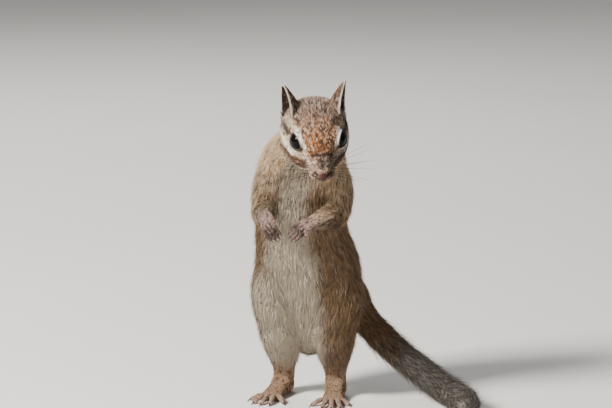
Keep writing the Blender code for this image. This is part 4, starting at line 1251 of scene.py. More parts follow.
@dataclass
class Skin:
    """The one skin under the coat, sculpted with lids, nose, lips, fingers and toes."""

    voxel: float = 0.34
    most_triangles: int = 190000
    fold_depth: float = 1.1
    face_length: float = 24.0
    shaded: float = 0.58
    lowest: float = 0.04
    trunk_coat: tuple = (1.6, 2.2, 2.3, 2.3, 2.3, 2.3, 2.3, 2.3, 2.3, 2.2, 2.0, 1.8)
    head_coat: tuple = ((0, 3, 8, 14, 22, 30, 42), (0.0, 0.1, 0.3, 0.55, 0.85, 1.15, 1.8))
    replaced: tuple = (
        "head", "lower_jaw", "ear_left", "ear_right", "neck", "chest", "belly", "rump",
        "upper_arm_left", "upper_arm_right", "forearm_left", "forearm_right", "forepaw_left", "forepaw_right",
        "thigh_left", "thigh_right", "shank_left", "shank_right", "hind_foot_left", "hind_foot_right",
        "tail_base", "tail_upper", "tail_lower", "tail_tip",
    )

    def shells(self) -> list[Shell]:
        """The flesh as overlapping closed forms."""
        yaws = (PELVIS_YAW, PELVIS_YAW - 2, CHEST_YAW, NECK_YAW)
        turns = np.interp(np.linspace(0, 1, 60), (0, 0.3, 0.75, 1), yaws)
        fronts = np.array([facing(turn) for turn in turns])
        made = [tube(thinner(TRUNK, self.trunk_coat), fronts, 60, 64, (4, 4), 2.15)]
        made.append(self.head_shell())
        made += self.face_lumps()
        for arm in ARMS:
            made.append(tube(thinner(arm.upper, (1.9, 1.6, 1.3)), facing(0.0), 16, 32, (4.0, 3.6)))
            made.append(tube(thinner(arm.fore, (1.1, 0.8, 0.5)), UP, 20, 28, (2.4, 2.2)))
            back = unit(np.array(arm.back_of_hand))
            made.append(tube(thinner(arm.palm, 0.25), back, 10, 24, (1.9, 1.3), 2.4))
            made += [digit.shell() for digit in hand_digits(arm)]
        for leg in LEGS:
            ahead = facing(leg.yaw)
            made.append(tube(thinner(leg.thigh, (2.1, 2.0, 1.9)), ahead, 24, 48, (6.0, 5.0)))
            made.append(tube(thinner(leg.shank, (1.6, 1.1, 0.8)), ahead, 24, 36, (4.0, 4.5)))
            foot = Foot(leg)
            made.append(foot.sole())
            made.append(ball(foot.heel + UP * 9.0 + foot.along * 2.4, (4.5, 4.6, 5.4)))
            made += [digit.shell() for digit in foot.digits()]
        made.append(TAIL_LINE.core())
        return made

    def head_shell(self) -> Shell:
        """The head, less the depth of its coat."""
        rows = np.array(HEAD_ROWS)
        rows[:, 3:] -= np.interp(rows[:, 0], *self.head_coat)[:, None]
        keys = [(*HEAD.place(*row[:3]), *row[3:]) for row in rows]
        return tube(np.array(keys), HEAD.up, 60, 56, (1.2, 3.0), 2.15, -HEAD.forward)

    def face_lumps(self) -> list[Shell]:
        """Upper lips, chin, nose pad and the swelling of the lids."""
        made = []
        for side in SIDES.values():
            made.append(ball(HEAD.place(4.9, side * 2.3, -1.9), (4.2, 3.0, 3.0), HEAD.axes))
        made.append(ball(HEAD.place(0.6, 0.0, -0.8), (1.8, 2.3, 1.6), HEAD.axes))
        made.append(ball(HEAD.place(6.2, 0.0, -4.6), (4.0, 2.7, 2.6), HEAD.axes))
        for eye in EYES.values():
            made.append(ball(eye.centre, (6.1, 5.7, 4.9), eye.axes))
        return made

    def lid_ridges(self, points: Array) -> Array:
        """Raises both lids round the eye, and opens the socket between them."""
        for eye in EYES.values():
            local = eye.local(points)
            reach = np.linalg.norm(local, axis=1)
            edge = eye.edge_distance(points)
            near = (reach < eye.radius + 4.5) & (local[:, 2] > 0)
            direction = local / np.maximum(reach[:, None], 1e-6)
            inside = near & (edge < -0.12)
            rim = near & ~inside
            lift = eye.radius + 0.16 + 0.34 * bell(edge, 0.40, 0.36) + 0.10 * np.maximum(edge, 0.0)
            fade = 1 - ramp(edge, 0.7, 3.6)
            fold = 0.20 * bell(edge, 1.30, 0.28)
            wanted = np.where(inside, eye.radius - 0.9, reach + (lift - fold - reach) * fade)
            moved = direction * wanted[:, None]
            keep = (near & (inside | rim))[:, None]
            points = np.where(keep, eye.centre + moved @ eye.axes.T, points)
        return points

    def face_grooves(self, points: Array, normals: Array) -> Array:
        """Cuts the mouth line, the split of the upper lip, the nostrils and the fold over the bridge."""
        back, left, up = HEAD.inside(points)
        head = (back < self.face_length) & (np.abs(left) < 12.0) & (up > -14.0)
        mouth_line = -4.1 - 0.10 * back + 0.5 * bell(left, 0.0, 1.1)
        mouth = 0.75 * bell(up, mouth_line, 0.38) * (1 - ramp(back, 8.0, 10.5))
        split = 0.5 * bell(left, 0.0, 0.30) * band(up, -2.6, 1.6, 0.4) * (1 - ramp(back, 3.0, 4.5))
        crease = 0.22 * bell(back - 6.2 - 0.12 * np.abs(left), 0.0, 0.45) * ramp(up, 1.5, 3.0)
        nostril = np.zeros(len(points))
        for side in SIDES.values():
            x, y = (left * side - 2.45) / 0.80, (up + 0.35 - 0.4 * (left * side - 2.45)) / 0.50
            nostril += 1.1 * np.exp(-((x * x + y * y) ** 1.5)) * (1 - ramp(back, 2.2, 3.2))
        brow = 0.35 * bell(back, 13.5, 2.5) * bell(up, 9.5, 2.2) * bell(np.abs(left), 6.5, 2.0)
        return points - normals * ((mouth + split + crease + nostril - brow) * head)[:, None]

    def build(self) -> Obj:
        """Joins, smooths and sculpts the skin.

        Returns:
            The skin's object.
        """
        points, faces = joined(self.shells())
        skin = make_object("skin", points, faces)
        remesh = skin.modifiers.new("remesh", "REMESH")
        remesh.mode = "VOXEL"
        remesh.voxel_size = self.voxel * MM
        mesh = evaluated_mesh(skin)
        points = mesh_points(mesh)
        edges = read(mesh.edges, "vertices", 2, np.int32)
        fields = coat_fields(points)
        points = relax(points, edges, self.softness(points, fields), 26)
        back, _, _ = HEAD.inside(points)
        large = sum(fields.on(zone) for zone in (Zone.TRUNK, Zone.THIGH, Zone.SHANK, Zone.UPPER_ARM))
        large = large + fields.on(Zone.HEAD) * ramp(back, 25.0, 32.0)
        large = ramp(large, 0.5, 0.95) * (1 - 0.55 * ramp(points[:, 2], 100.0, 108.0))
        points = relax(points, edges, 0.9 * large, 140)
        points[:, 2] = np.maximum(points[:, 2], self.lowest)
        put_points(mesh, points)
        self.join_ears(skin)
        self.thin_out(skin)
        mesh = skin.data
        points = self.lid_ridges(mesh_points(mesh))
        put_points(mesh, points)
        normals = point_normals(mesh)
        points = self.face_grooves(points, normals)
        put_points(mesh, self.leg_folds(points, normals))
        return skin

    def dress(self, skin: Obj, finish: bpy.types.Material) -> None:
        """Stores the skin's tone, darker where the coat is dense, and hides the solids it replaces."""
        points = mesh_points(skin.data)
        marks_and_painted_light = MarkingsAndPaintedLight(points, coat_fields(points))
        tone = np.ones((len(points), 4), np.float32)
        tone[:, :3] = marks_and_painted_light.colour * (self.shaded + (1 - self.shaded) * ramp(marks_and_painted_light.bare, 0.2, 0.8))[:, None]
        layer = skin.data.color_attributes.new("skin_tone", "FLOAT_COLOR", "POINT")
        layer.data.foreach_set("color", tone.ravel())
        skin.data.materials.clear()
        skin.data.materials.append(finish)
        skin.data.shade_smooth()
        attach(skin, "root")
        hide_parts(*self.replaced)

    def leg_folds(self, points: Array, normals: Array) -> Array:
        """Sinks a soft fold where each thigh meets the belly."""
        fields = coat_fields(points)
        thigh, trunk = fields.on(Zone.THIGH), fields.on(Zone.TRUNK)
        even = bell(thigh - trunk, 0.0, 0.45) * ramp(thigh + trunk, 0.6, 0.9)
        place = ramp(points[:, 2], 24.0, 34.0) * (1 - ramp(points[:, 2], 50.0, 60.0))
        place = place * (1 - ramp(points[:, 1], -2.0, 8.0))
        return points - normals * (self.fold_depth * even * place)[:, None]

    def softness(self, points: Array, fields: Fields) -> Array:
        """How strongly each point is smoothed: little on face and feet, much where limbs join the trunk."""
        table = {Zone.HEAD: 0.35, Zone.PAW: 0.04, Zone.FOOT: 0.06, Zone.FOREARM: 0.40, Zone.TAIL: 0.40}
        strength = sum(fields.on(zone) * table.get(zone, 0.65) for zone in Zone)
        back, _, _ = HEAD.inside(points)
        face = (fields.zone == Zone.HEAD.value) & (back < self.face_length)
        strength[face] = np.interp(back[face], (0, 6, 24), (0.08, 0.16, 0.35))
        return strength

    def join_ears(self, skin: Obj) -> None:
        """Unites the two ears with the head."""
        group = bpy.data.collections.new("ear_shells")
        for name, ear in EARS.items():
            made = make_object(f"ear_shell_{name}", *ear.shell())
            bm = bmesh.new()
            bm.from_mesh(made.data)
            bmesh.ops.recalc_face_normals(bm, faces=bm.faces)
            bm.to_mesh(made.data)
            bm.free()
            group.objects.link(made)
        union = skin.modifiers.new("ears", "BOOLEAN")
        union.operation = "UNION"
        union.solver = "MANIFOLD"
        union.operand_type = "COLLECTION"
        union.collection = group
        evaluated_mesh(skin)
        for made in list(group.objects):
            bpy.data.objects.remove(made, do_unlink=True)
        bpy.data.collections.remove(group)

    def thin_out(self, skin: Obj) -> None:
        """Takes points away under the deep coat until the skin holds few enough triangles."""
        mesh = skin.data
        mesh.calc_loop_triangles()
        count = len(mesh.loop_triangles)
        LOG.info("skin has %d triangles before thinning", count)
        if count <= self.most_triangles:
            return
        points = mesh_points(mesh)
        fields = coat_fields(points)
        back, _, _ = HEAD.inside(points)
        fine = np.isin(fields.zone, [Zone.PAW.value, Zone.FOOT.value]) | (fields.ear != 0)
        fine |= (fields.zone == Zone.HEAD.value) & (back < self.face_length)
        group = skin.vertex_groups.new(name="coarse")
        group.add(np.flatnonzero(~fine).tolist(), 1.0, "REPLACE")
        group.add(np.flatnonzero(fine).tolist(), 0.02, "REPLACE")
        decimate = skin.modifiers.new("thin", "DECIMATE")
        decimate.ratio = self.most_triangles / count
        decimate.vertex_group = group.name
        decimate.vertex_group_factor = 1.0
        evaluated_mesh(skin)
        skin.vertex_groups.clear()


def relax(points: Array, edges: Array, strength: Array, rounds: int) -> Array:
    """Moves each point towards the middle of its neighbours."""
    count = len(points)
    first, second = edges[:, 0], edges[:, 1]
    near = np.maximum(np.bincount(first, minlength=count) + np.bincount(second, minlength=count), 1)
    points = points.copy()
    for _ in range(rounds):
        total = np.empty_like(points)
        for axis in range(3):
            total[:, axis] = np.bincount(first, points[second, axis], count)
            total[:, axis] += np.bincount(second, points[first, axis], count)
        points += strength[:, None] * (total / near[:, None] - points)
    return points


def point_normals(mesh: bpy.types.Mesh) -> Array:
    """Smooth normals at a mesh's points."""
    return read(mesh.vertex_normals, "vector", 3).astype(float)


@dataclass
class Roots:
    """Where the tufts grow, with all that shapes and colours them."""

    place: Array
    normal: Array
    fields: Fields
    marks_and_painted_light: MarkingsAndPaintedLight


@dataclass
class Coat:
    """The fur as slim solid tufts: where they grow, how they lie, and the pieces they are gathered in."""

    skin: Obj
    most_in_piece: int = 33000
    finer: float = 1.75
    clump: float = 0.45
    lock_spacing: float = 2.6
    lock_likeness: float = 0.85
    sway: float = 0.13
    guard_share: float = 0.13
    guard_size: tuple[float, float, float] = (1.3, 1.55, 0.65)
    root_depth: float = 0.12
    lowest: tuple[float, float] = (0.3, 0.15)
    uv_patch: float = 0.0015
    slots = (
        ("coat_tail", "tail_fur"), ("coat_belly", "cream_fur"), ("coat_chest", "cream_fur"),
        ("coat_paws", "bare_skin"), ("coat_feet", "bare_skin"),
    )
    zone_pieces = (
        (Zone.UPPER_ARM, "arms"), (Zone.FOREARM, "arms"), (Zone.PAW, "paws"), (Zone.THIGH, "thighs"),
        (Zone.SHANK, "shanks"), (Zone.FOOT, "feet"), (Zone.TAIL, "tail"),
    )

    def __post_init__(self) -> None:
        """Reads the skin's surface once."""
        self.draw = np.random.default_rng(SEED)
        mesh = self.skin.data
        mesh.calc_loop_triangles()
        self.triangles = read(mesh.loop_triangles, "vertices", 3, np.int32)
        self.points, self.normals = mesh_points(mesh), point_normals(mesh)
        self.flow = laid(coat_fields(self.points).flow, self.normals)
        self.tree = BVHTree.FromPolygons(self.points.tolist(), self.triangles.tolist())
        corners = self.points[self.triangles]
        sides = corners[:, 1:] - corners[:, :1]
        self.areas = 0.5 * np.linalg.norm(np.cross(sides[:, 0], sides[:, 1]), axis=1)

    def density(self, middle: Array, fields: Fields, marks_and_painted_light: MarkingsAndPaintedLight) -> Array:
        """Tufts in each square millimetre."""
        back, _, _ = HEAD.inside(middle)
        table = {
            Zone.HEAD: np.interp(back, (0, 10, 20, 42), (19.0, 17.0, 12.0, 7.0)),
            Zone.TRUNK: 5.0, Zone.UPPER_ARM: 6.0, Zone.FOREARM: 9.0, Zone.PAW: 9.0,
            Zone.THIGH: 5.2, Zone.SHANK: 6.5, Zone.FOOT: 9.0, Zone.TAIL: 8.5,
        }
        made = sum(fields.on(zone) * value for zone, value in table.items())
        made = np.where(fields.ear != 0, 14.0, made) * self.finer
        return made * (1 - ramp(marks_and_painted_light.bare, 0.3, 0.8))

    def find_roots(self) -> Roots:
        """Draws roots spread over the skin by their density.

        Returns:
            The roots in the order of the skin's triangles.
        """
        middle = self.points[self.triangles].mean(axis=1)
        fields = coat_fields(middle)
        marks_and_painted_light = MarkingsAndPaintedLight(middle, fields)
        wanted = self.density(middle, fields, marks_and_painted_light) * self.areas
        number = np.floor(wanted + self.draw.random(len(wanted))).astype(int)
        owner = np.repeat(np.arange(len(wanted)), number)
        mix = self.draw.random((len(owner), 3)) + 0.15
        mix /= mix.sum(axis=1, keepdims=True)
        corners = self.triangles[owner]
        place = (self.points[corners] * mix[..., None]).sum(axis=1)
        normal = unit((self.normals[corners] * mix[..., None]).sum(axis=1))
        fields = coat_fields(place)
        return Roots(place, normal, fields, MarkingsAndPaintedLight(place, fields))

    def walk(self, place: Array, direction: Array, distance: Array) -> tuple[Array, Array, Array]:
        """Goes a distance over the skin.

        Args:
            place: start places.
            direction: unit directions.
            distance: lengths.

        Returns:
            The places reached on the skin, the normals and the lie of the coat there.
        """
        wanted = place + direction * distance[:, None]
        hits = [self.tree.find_nearest(spot) for spot in wanted.tolist()]
        found = np.array([hit[0] for hit in hits])
        corners = self.triangles[[hit[2] for hit in hits]]
        normal = unit(self.normals[corners].mean(axis=1))
        return found, normal, laid(self.flow[corners].mean(axis=1), normal)

    def leaders(self, roots: Roots) -> Array:
        """The tuft that leads the small lock of each tuft."""
        count = len(roots.place)
        share = self.lock_spacing / np.maximum(self.density(roots.place, roots.fields, roots.marks_and_painted_light), 5.0)
        leaders = np.flatnonzero(self.draw.random(count) < share)
        tree = kdtree.KDTree(len(leaders))
        for i, leader in enumerate(leaders):
            tree.insert(roots.place[leader], i)
        tree.balance()
        return leaders[[tree.find(spot)[1] for spot in roots.place.tolist()]]

    def clumped(self, tips: Array, roots: Roots, chosen: Array) -> Array:
        """Draws the tips of near tufts together into small locks."""
        count = len(tips)
        pull = tips[chosen] - tips
        far = np.linalg.norm(pull, axis=1)
        strength = self.clump * (far < roots.fields.length * 0.5) * self.draw.uniform(0.3, 1.0, count)
        return tips + pull * strength[:, None]

    def colours(self, roots: Roots, chosen: Array) -> tuple[Array, Array, Array]:
        """Colours at the root, the middle and the tip of each tuft, much alike within a lock."""
        marks_and_painted_light, count = roots.marks_and_painted_light, len(roots.place)
        body = marks_and_painted_light.colour * self.draw.uniform(0.84, 1.14, (count, 1))
        body = body * (1 + self.draw.uniform(-0.05, 0.05, (count, 3)))
        body = body * self.draw.uniform(0.88, 1.12, (count, 1))[chosen]
        chance = self.draw.random(count)
        chance = np.where(self.draw.random(count) < self.lock_likeness, chance[chosen], chance)
        dark = chance < marks_and_painted_light.dark
        light = (chance > 1 - marks_and_painted_light.light) & ~dark
        middle, tip = body.copy(), body * 1.12
        middle[dark] = middle[dark] * 0.25 + np.array(PALETTE.dark) * 0.5
        tip[dark] = np.array(PALETTE.dark)
        paler = np.where(roots.fields.zone == Zone.HEAD.value, 0.62, 0.42)[light, None]
        middle[light] = middle[light] * (1 - paler * 0.45) + np.array(PALETTE.light) * paler * 0.45
        tip[light] = tip[light] * (1 - paler) + np.array(PALETTE.light) * paler
        root = body * 0.55
        tail = roots.fields.zone == Zone.TAIL.value
        share = roots.fields.share[:, Zone.TAIL.value]
        grey = tail & (share + self.draw.uniform(-0.08, 0.08, count) > 0.34)
        banded = grey & (self.draw.random(count) < 0.6)
        root[grey] = np.array((0.24, 0.165, 0.105))
        middle[grey] = np.array((0.032, 0.026, 0.022))
        tip[grey] = np.array((0.12, 0.10, 0.085))
        tip[banded] = np.array((0.50, 0.465, 0.42)) * self.draw.uniform(0.6, 1.15, (int(banded.sum()), 1))
        return np.clip(root, 0, 1), np.clip(middle, 0, 1), np.clip(tip, 0, 1)

    def grow(self) -> list[Obj]:
        """Makes every tuft and gathers them in pieces.

        Returns:
            The coat's objects.
        """
        roots = self.find_roots()
        fields, count = roots.fields, len(roots.place)
        LOG.info("coat has %d tufts", count)
        flow = laid(fields.flow, roots.normal)
        sway = self.draw.normal(0.0, self.sway, (count, 1))
        flow = unit(flow + np.cross(roots.normal, flow) * sway)
        guard = self.draw.random(count) < self.guard_share * ramp(fields.depth, 0.5, 1.2)
        longer, higher, slimmer = (np.where(guard, size, 1.0) for size in self.guard_size)
        length = fields.length * self.draw.uniform(0.75, 1.15, count) * longer
        lift = fields.depth * self.draw.uniform(0.60, 1.12, count) * higher
        half, normal_1, flow_1 = self.walk(roots.place, flow, length * 0.5)
        bent = unit(flow_1 + np.cross(normal_1, flow_1) * sway)
        end, normal_2, _ = self.walk(half, bent, length * 0.5)
        start = roots.place - roots.normal * self.root_depth
        middle = half + normal_1 * (lift * 0.62)[:, None]
        chosen = self.leaders(roots)
        straight = end + normal_2 * lift[:, None]
        tips = self.clumped(straight, roots, chosen)
        tips[:, 2] = np.maximum(tips[:, 2], self.lowest[1])
        middle[:, 2] = np.maximum(middle[:, 2], self.lowest[0])
        middle += (tips - straight) * 0.35
        width = fields.width * self.draw.uniform(0.68, 1.02, count) * slimmer
        colours = self.colours(roots, chosen)
        homes = self.homes(roots)
        uv = self.unwrap(fields, homes)
        made = []
        for name in sorted(set(homes.tolist())):
            mine = np.flatnonzero(homes == name)
            parts = max(1, math.ceil(len(mine) / self.most_in_piece))
            for k, own in enumerate(np.array_split(mine, parts)):
                label = name if parts == 1 else f"{name}_{k + 1}"
                shape = (start[own], middle[own], tips[own], normal_1[own], width[own])
                made.append(self.piece(label, shape, [c[own] for c in colours], uv[own]))
        return made

    def dress(self, pieces: list[Obj], finish: bpy.types.Material) -> None:
        """Finishes the pieces of the coat."""
        for obj in pieces:
            obj.data.materials.append(finish)
            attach(obj, "root")
            LOG.info("%s has %d triangles", obj.name, len(obj.data.polygons))

    def homes(self, roots: Roots) -> Array:
        """The name of the piece that each tuft belongs to."""
        fields, p = roots.fields, roots.place
        back, _, _ = HEAD.inside(p)
        names = np.full(len(p), "coat_flanks", dtype=object)
        trunk, front = fields.zone == Zone.TRUNK.value, p[:, 1] < 0.0
        names[trunk & front] = "coat_belly"
        names[trunk & front & (p[:, 2] > 80)] = "coat_chest"
        names[trunk & ~front & (p[:, 2] > 76)] = "coat_shoulders"
        names[trunk & ~front & (p[:, 2] <= 76)] = "coat_back"
        head = fields.zone == Zone.HEAD.value
        names[head] = "coat_crown"
        names[head & (back < 20)] = "coat_face"
        names[fields.ear != 0] = "coat_ears"
        for zone, name in self.zone_pieces:
            names[fields.zone == zone.value] = "coat_" + name
        return names

    def unwrap(self, fields: Fields, homes: Array) -> Array:
        """Places on a flat plan of the skin, unrolled round the line inside each part of the body."""
        made = np.empty((len(homes), 2))
        chart = fields.zone * 3 + fields.side + 1 + 40 * (fields.ear + 1) * (fields.ear != 0)
        for name in set(homes.tolist()):
            mine = homes == name
            charts = sorted(set(chart[mine].tolist()))
            for k, one in enumerate(charts):
                chosen = mine & (chart == one)
                u = (fields.angle[chosen] + math.pi) / (2 * math.pi)
                share = fields.share[chosen, fields.zone[chosen]]
                low, high = float(share.min()), float(share.max())
                made[chosen, 0] = (k + 0.02 + 0.96 * u) / len(charts)
                made[chosen, 1] = 0.01 + 0.98 * ((share - low) / max(high - low, 1e-6))
        return made

    def piece(self, name: str, shape: tuple[Array, ...], colours: list[Array], uv: Array) -> Obj:
        """One object of joined tufts.

        Args:
            name: the object's name.
            shape: start, middle and tip places, normals at the middle, and widths.
            colours: at root, middle and tip.
            uv: each blade's place on the plan of the skin.

        Returns:
            The object, with its colours and its OFBake map.
        """
        start, middle, tips, normal, width = shape
        count = len(start)
        along = unit(tips - start)
        across = unit(np.cross(along, normal)) * width[:, None] * 0.50
        rise = unit(np.cross(across, along)) * width[:, None] * 0.30
        corners = [start, middle - across, middle + across, middle + rise, tips]
        points = np.stack(corners, axis=1).reshape(-1, 3)
        base = (np.arange(count) * len(corners))[:, None, None]
        plan = np.array(((2, 1, 0), (3, 2, 0), (1, 3, 0), (1, 2, 4), (2, 3, 4), (3, 1, 4)))
        faces = (base + plan[None]).reshape(-1, 3)
        made = make_object(name, points, faces)
        mesh = made.data
        tone = np.empty((count, 5, 4), np.float32)
        tone[..., 3] = 1.0
        tone[:, 0, :3] = colours[0]
        tone[:, 1:4, :3] = colours[1][:, None]
        tone[:, 4, :3] = colours[2]
        layer = mesh.color_attributes.new("coat_tone", "FLOAT_COLOR", "POINT")
        layer.data.foreach_set("color", tone.ravel())
        patch = np.array(((0, -1), (-1, 0.3), (1, 0.3), (0, 0.3), (0, 1)), float) * self.uv_patch
        spots = np.clip(uv[:, None, :] * 0.994 + 0.003 + patch[None], 0.0, 1.0).reshape(-1, 2)
        flat = mesh.uv_layers.new(name="OFBake")
        flat.data.foreach_set("uv", spots[faces.ravel()].astype(np.float32).ravel())
        return made


@dataclass
class Graph:
    """A node tree that is being built."""

    tree: bpy.types.NodeTree

    def socket(self, name: str, kind: str, way: str = "INPUT") -> str:
        """Adds a named socket to a group and gives its identifier."""
        return self.tree.interface.new_socket(name, in_out=way, socket_type="NodeSocket" + kind).identifier

    def node(self, kind: str, values: dict | None = None, **settings: object) -> bpy.types.Node:
        """Adds a node, with its settings and then the values on its inputs."""
        made = self.tree.nodes.new(kind)
        for name, value in settings.items():
            setattr(made, name, value)
        for name, value in (values or {}).items():
            made.inputs[name].default_value = value
        return made

    def link(self, *ties: tuple) -> None:
        """Links nodes. Each tie is a node, its output, the next node and its input."""
        for start, output, end, entry in ties:
            self.tree.links.new(start.outputs[output], end.inputs[entry])


def mottle_group() -> bpy.types.NodeTree:
    """Soft uneven darkening of a colour by noise, and the noise itself as grain."""
    graph = Graph(bpy.data.node_groups.new("mottle", "ShaderNodeTree"))
    for name, kind in (("Color", "Color"), ("Scale", "Float"), ("Amount", "Float")):
        graph.socket(name, kind)
    graph.socket("Color", "Color", "OUTPUT")
    graph.socket("Grain", "Float", "OUTPUT")
    start, end = graph.node("NodeGroupInput"), graph.node("NodeGroupOutput")
    place = graph.node("ShaderNodeTexCoord")
    noise = graph.node("ShaderNodeTexNoise", {"Detail": 4.0})
    level = graph.node("ShaderNodeMapRange", {"From Min": 0.3, "From Max": 0.7, "To Min": 1.0})
    less = graph.node("ShaderNodeMath", {0: 1.0}, operation="SUBTRACT")
    shade = graph.node("ShaderNodeMix", {"Factor": 1.0}, data_type="RGBA", blend_type="MULTIPLY")
    graph.link(
        (place, "Object", noise, "Vector"), (start, "Scale", noise, "Scale"), (noise, "Fac", level, "Value"),
        (start, "Amount", less, 1), (less, 0, level, "To Max"), (start, "Color", shade, "A"),
        (level, "Result", shade, "B"), (shade, "Result", end, "Color"), (noise, "Fac", end, "Grain"),
    )
    return graph.tree


@dataclass(frozen=True)
class Finish:
    """A named finish on a Principled shader."""

    name: str
    roughness: float
    sheen: float = 0.0
    colour: tuple[float, float, float] | None = None
    attribute: str | None = None
    mottle_scale: float = 0.0
    mottle_amount: float = 0.0
    bump: float = 0.0
    bend: float = 1.45
    shine: float = 0.5

    def build(self, mottle: bpy.types.NodeTree) -> bpy.types.Material:
        """The material, with its colour from an attribute or a constant, and its mottling and bump."""
        made = bpy.data.materials.new(self.name)
        made.use_nodes = True
        graph, shader = Graph(made.node_tree), made.node_tree.nodes["Principled BSDF"]
        shader.inputs["Roughness"].default_value = self.roughness
        shader.inputs["Sheen Weight"].default_value = self.sheen
        shader.inputs["IOR"].default_value = self.bend
        shader.inputs["Specular IOR Level"].default_value = self.shine
        first, entry = shader, "Base Color"
        if self.mottle_scale:
            values = {"Scale": self.mottle_scale, "Amount": self.mottle_amount}
            first, entry = graph.node("ShaderNodeGroup", values, node_tree=mottle), "Color"
            graph.link((first, "Color", shader, "Base Color"))
            if self.bump:
                bump = graph.node("ShaderNodeBump", {"Strength": self.bump, "Distance": 0.0002})
                graph.link((first, "Grain", bump, "Height"), (bump, "Normal", shader, "Normal"))
        if self.attribute:
            tone = graph.node("ShaderNodeVertexColor", layer_name=self.attribute)
            graph.link((tone, "Color", first, entry))
        else:
            shader.inputs["Base Color"].default_value = (*self.colour, 1.0)
            first.inputs[entry].default_value = (*self.colour, 1.0)
        return made


FINISHES = (
    Finish(
        "skin_under_fur", 0.50, attribute="skin_tone", mottle_scale=2600.0, mottle_amount=0.35, bump=0.5,
        shine=0.35,
    ),
    Finish("fur_coat", 0.62, sheen=0.05, attribute="coat_tone", shine=0.25),
    Finish(
        "glossy_eye", 0.03, colour=(0.004, 0.003, 0.003), mottle_scale=500.0, mottle_amount=0.3, bend=1.18,
    ),
    Finish("dark_horn", 0.32, colour=(0.035, 0.024, 0.020), mottle_scale=900.0, mottle_amount=0.5, bump=0.3),
    Finish("whisker_hair", 0.35, colour=(0.016, 0.012, 0.010), mottle_scale=600.0, mottle_amount=0.3),
    Finish("pale_floor", 0.85, colour=(0.80, 0.79, 0.77), mottle_scale=6.0, mottle_amount=0.03),
)


@dataclass
class Strands:
    """Tapering solid strands along paths, by Geometry Nodes."""

    name: str
    root_radius: float
    tip_radius: float
    sides: int

    def tree(self, material: bpy.types.Material) -> tuple[bpy.types.NodeTree, dict[str, str]]:
        """A node tree that turns edges into tapered tubes.

        Args:
            material: what the tubes are finished with.

        Returns:
            The tree, and the identifier of each named input.
        """
        graph = Graph(bpy.data.node_groups.new(self.name + "_tubes", "GeometryNodeTree"))
        graph.socket("Geometry", "Geometry")
        sizes = (("Root Radius", "Float"), ("Tip Radius", "Float"), ("Sides", "Int"))
        known = {name: graph.socket(name, kind) for name, kind in sizes}
        graph.socket("Geometry", "Geometry", "OUTPUT")
        start, end = graph.node("NodeGroupInput"), graph.node("NodeGroupOutput")
        to_curve = graph.node("GeometryNodeMeshToCurve")
        along = graph.node("GeometryNodeSplineParameter")
        taper = graph.node("ShaderNodeMapRange")
        radius = graph.node("GeometryNodeSetCurveRadius")
        ring = graph.node("GeometryNodeCurvePrimitiveCircle", {"Radius": 1.0})
        sweep = graph.node("GeometryNodeCurveToMesh", {"Fill Caps": True})
        realize = graph.node("GeometryNodeRealizeInstances")
        finish = graph.node("GeometryNodeSetMaterial", {"Material": material})
        graph.link(
            (start, "Geometry", to_curve, "Mesh"), (along, "Factor", taper, "Value"),
            (start, "Root Radius", taper, "To Min"), (start, "Tip Radius", taper, "To Max"),
            (to_curve, "Curve", radius, "Curve"), (taper, "Result", radius, "Radius"),
            (start, "Sides", ring, "Resolution"), (radius, "Curve", sweep, "Curve"),
            (ring, "Curve", sweep, "Profile Curve"), (sweep, "Mesh", realize, "Geometry"),
            (realize, "Geometry", finish, "Geometry"), (finish, "Geometry", end, "Geometry"),
        )
        if "Scale" in sweep.inputs:
            graph.link((graph.node("GeometryNodeInputRadius"), "Radius", sweep, "Scale"))
        return graph.tree, known

    def build(self, paths: list[Array], material: bpy.types.Material) -> Obj:
        """One mesh of all the strands along the paths."""
        mesh = bpy.data.meshes.new(self.name)
        points, edges, first = [], [], 0
        for path in paths:
            points += ((path + SHIFT) * MM).tolist()
            edges += [(first + i, first + i + 1) for i in range(len(path) - 1)]
            first += len(path)
        mesh.from_pydata(points, edges, [])
        made = linked(self.name, mesh)
        tubes = made.modifiers.new("tubes", "NODES")
        tubes.node_group, known = self.tree(material)
        tubes[known["Root Radius"]] = self.root_radius * MM
        tubes[known["Tip Radius"]] = self.tip_radius * MM
        tubes[known["Sides"]] = self.sides
        evaluated_mesh(made).shade_smooth()
        return made


@dataclass
class Whiskers:
    """Whiskers in rows on both sides of the muzzle."""

    heights: tuple[float, float, float] = (-0.2, -1.5, -2.8)
    first: float = 3.4
    spacing: float = 1.5
    shortest: float = 16.0
    longer: float = 3.0
    buried: float = 0.8
    drop: float = 3.6
    sweep: float = 4.0

    def paths(self) -> list[Array]:
        """The middle lines, four in the upper row and one less in each row below."""
        draw = np.random.default_rng(SEED + 1)
        t = np.linspace(0, 1, 12)[:, None]
        droop = -UP * self.drop - HEAD.forward * self.sweep
        made = []
        for side in SIDES.values():
            for row, up in enumerate(self.heights):
                for k in range(4 - row):
                    back = self.first + self.spacing * k + 0.4 * (row % 2)
                    root = HEAD.place(back, side * np.interp(back, (3, 9), (3.0, 4.2)), up)
                    way = HEAD.left * side - HEAD.forward * (0.02 + 0.14 * k) + HEAD.up * (0.20 - 0.27 * row)
                    way = unit(way + draw.normal(0, 0.07, 3))
                    length = (self.shortest + self.longer * k) * draw.uniform(0.85, 1.1)
                    made.append(root - way * self.buried + way * length * t + droop * t * t)
        return made


@dataclass
class Eyeballs:
    """Two glossy eyeballs with a slightly raised front."""

    raised: float = 0.16
    raised_reach: float = 2.6

    def build(self, finish: bpy.types.Material) -> None:
        """Makes both, and hides the solids they replace."""
        for name, eye in EYES.items():
            points, faces = ball((0.0, 0.0, 0.0), (eye.radius,) * 3, None, 64, 48)
            from_axis = np.hypot(points[:, 0], points[:, 1])
            points[:, 2] += self.raised * bell(from_axis, 0.0, self.raised_reach) * (points[:, 2] > 0)
            obj = make_object(f"eyeball_{name}", points @ eye.axes.T + eye.centre, faces)
            obj.data.materials.append(finish)
            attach(obj, "root")
            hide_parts(f"eye_{name}")


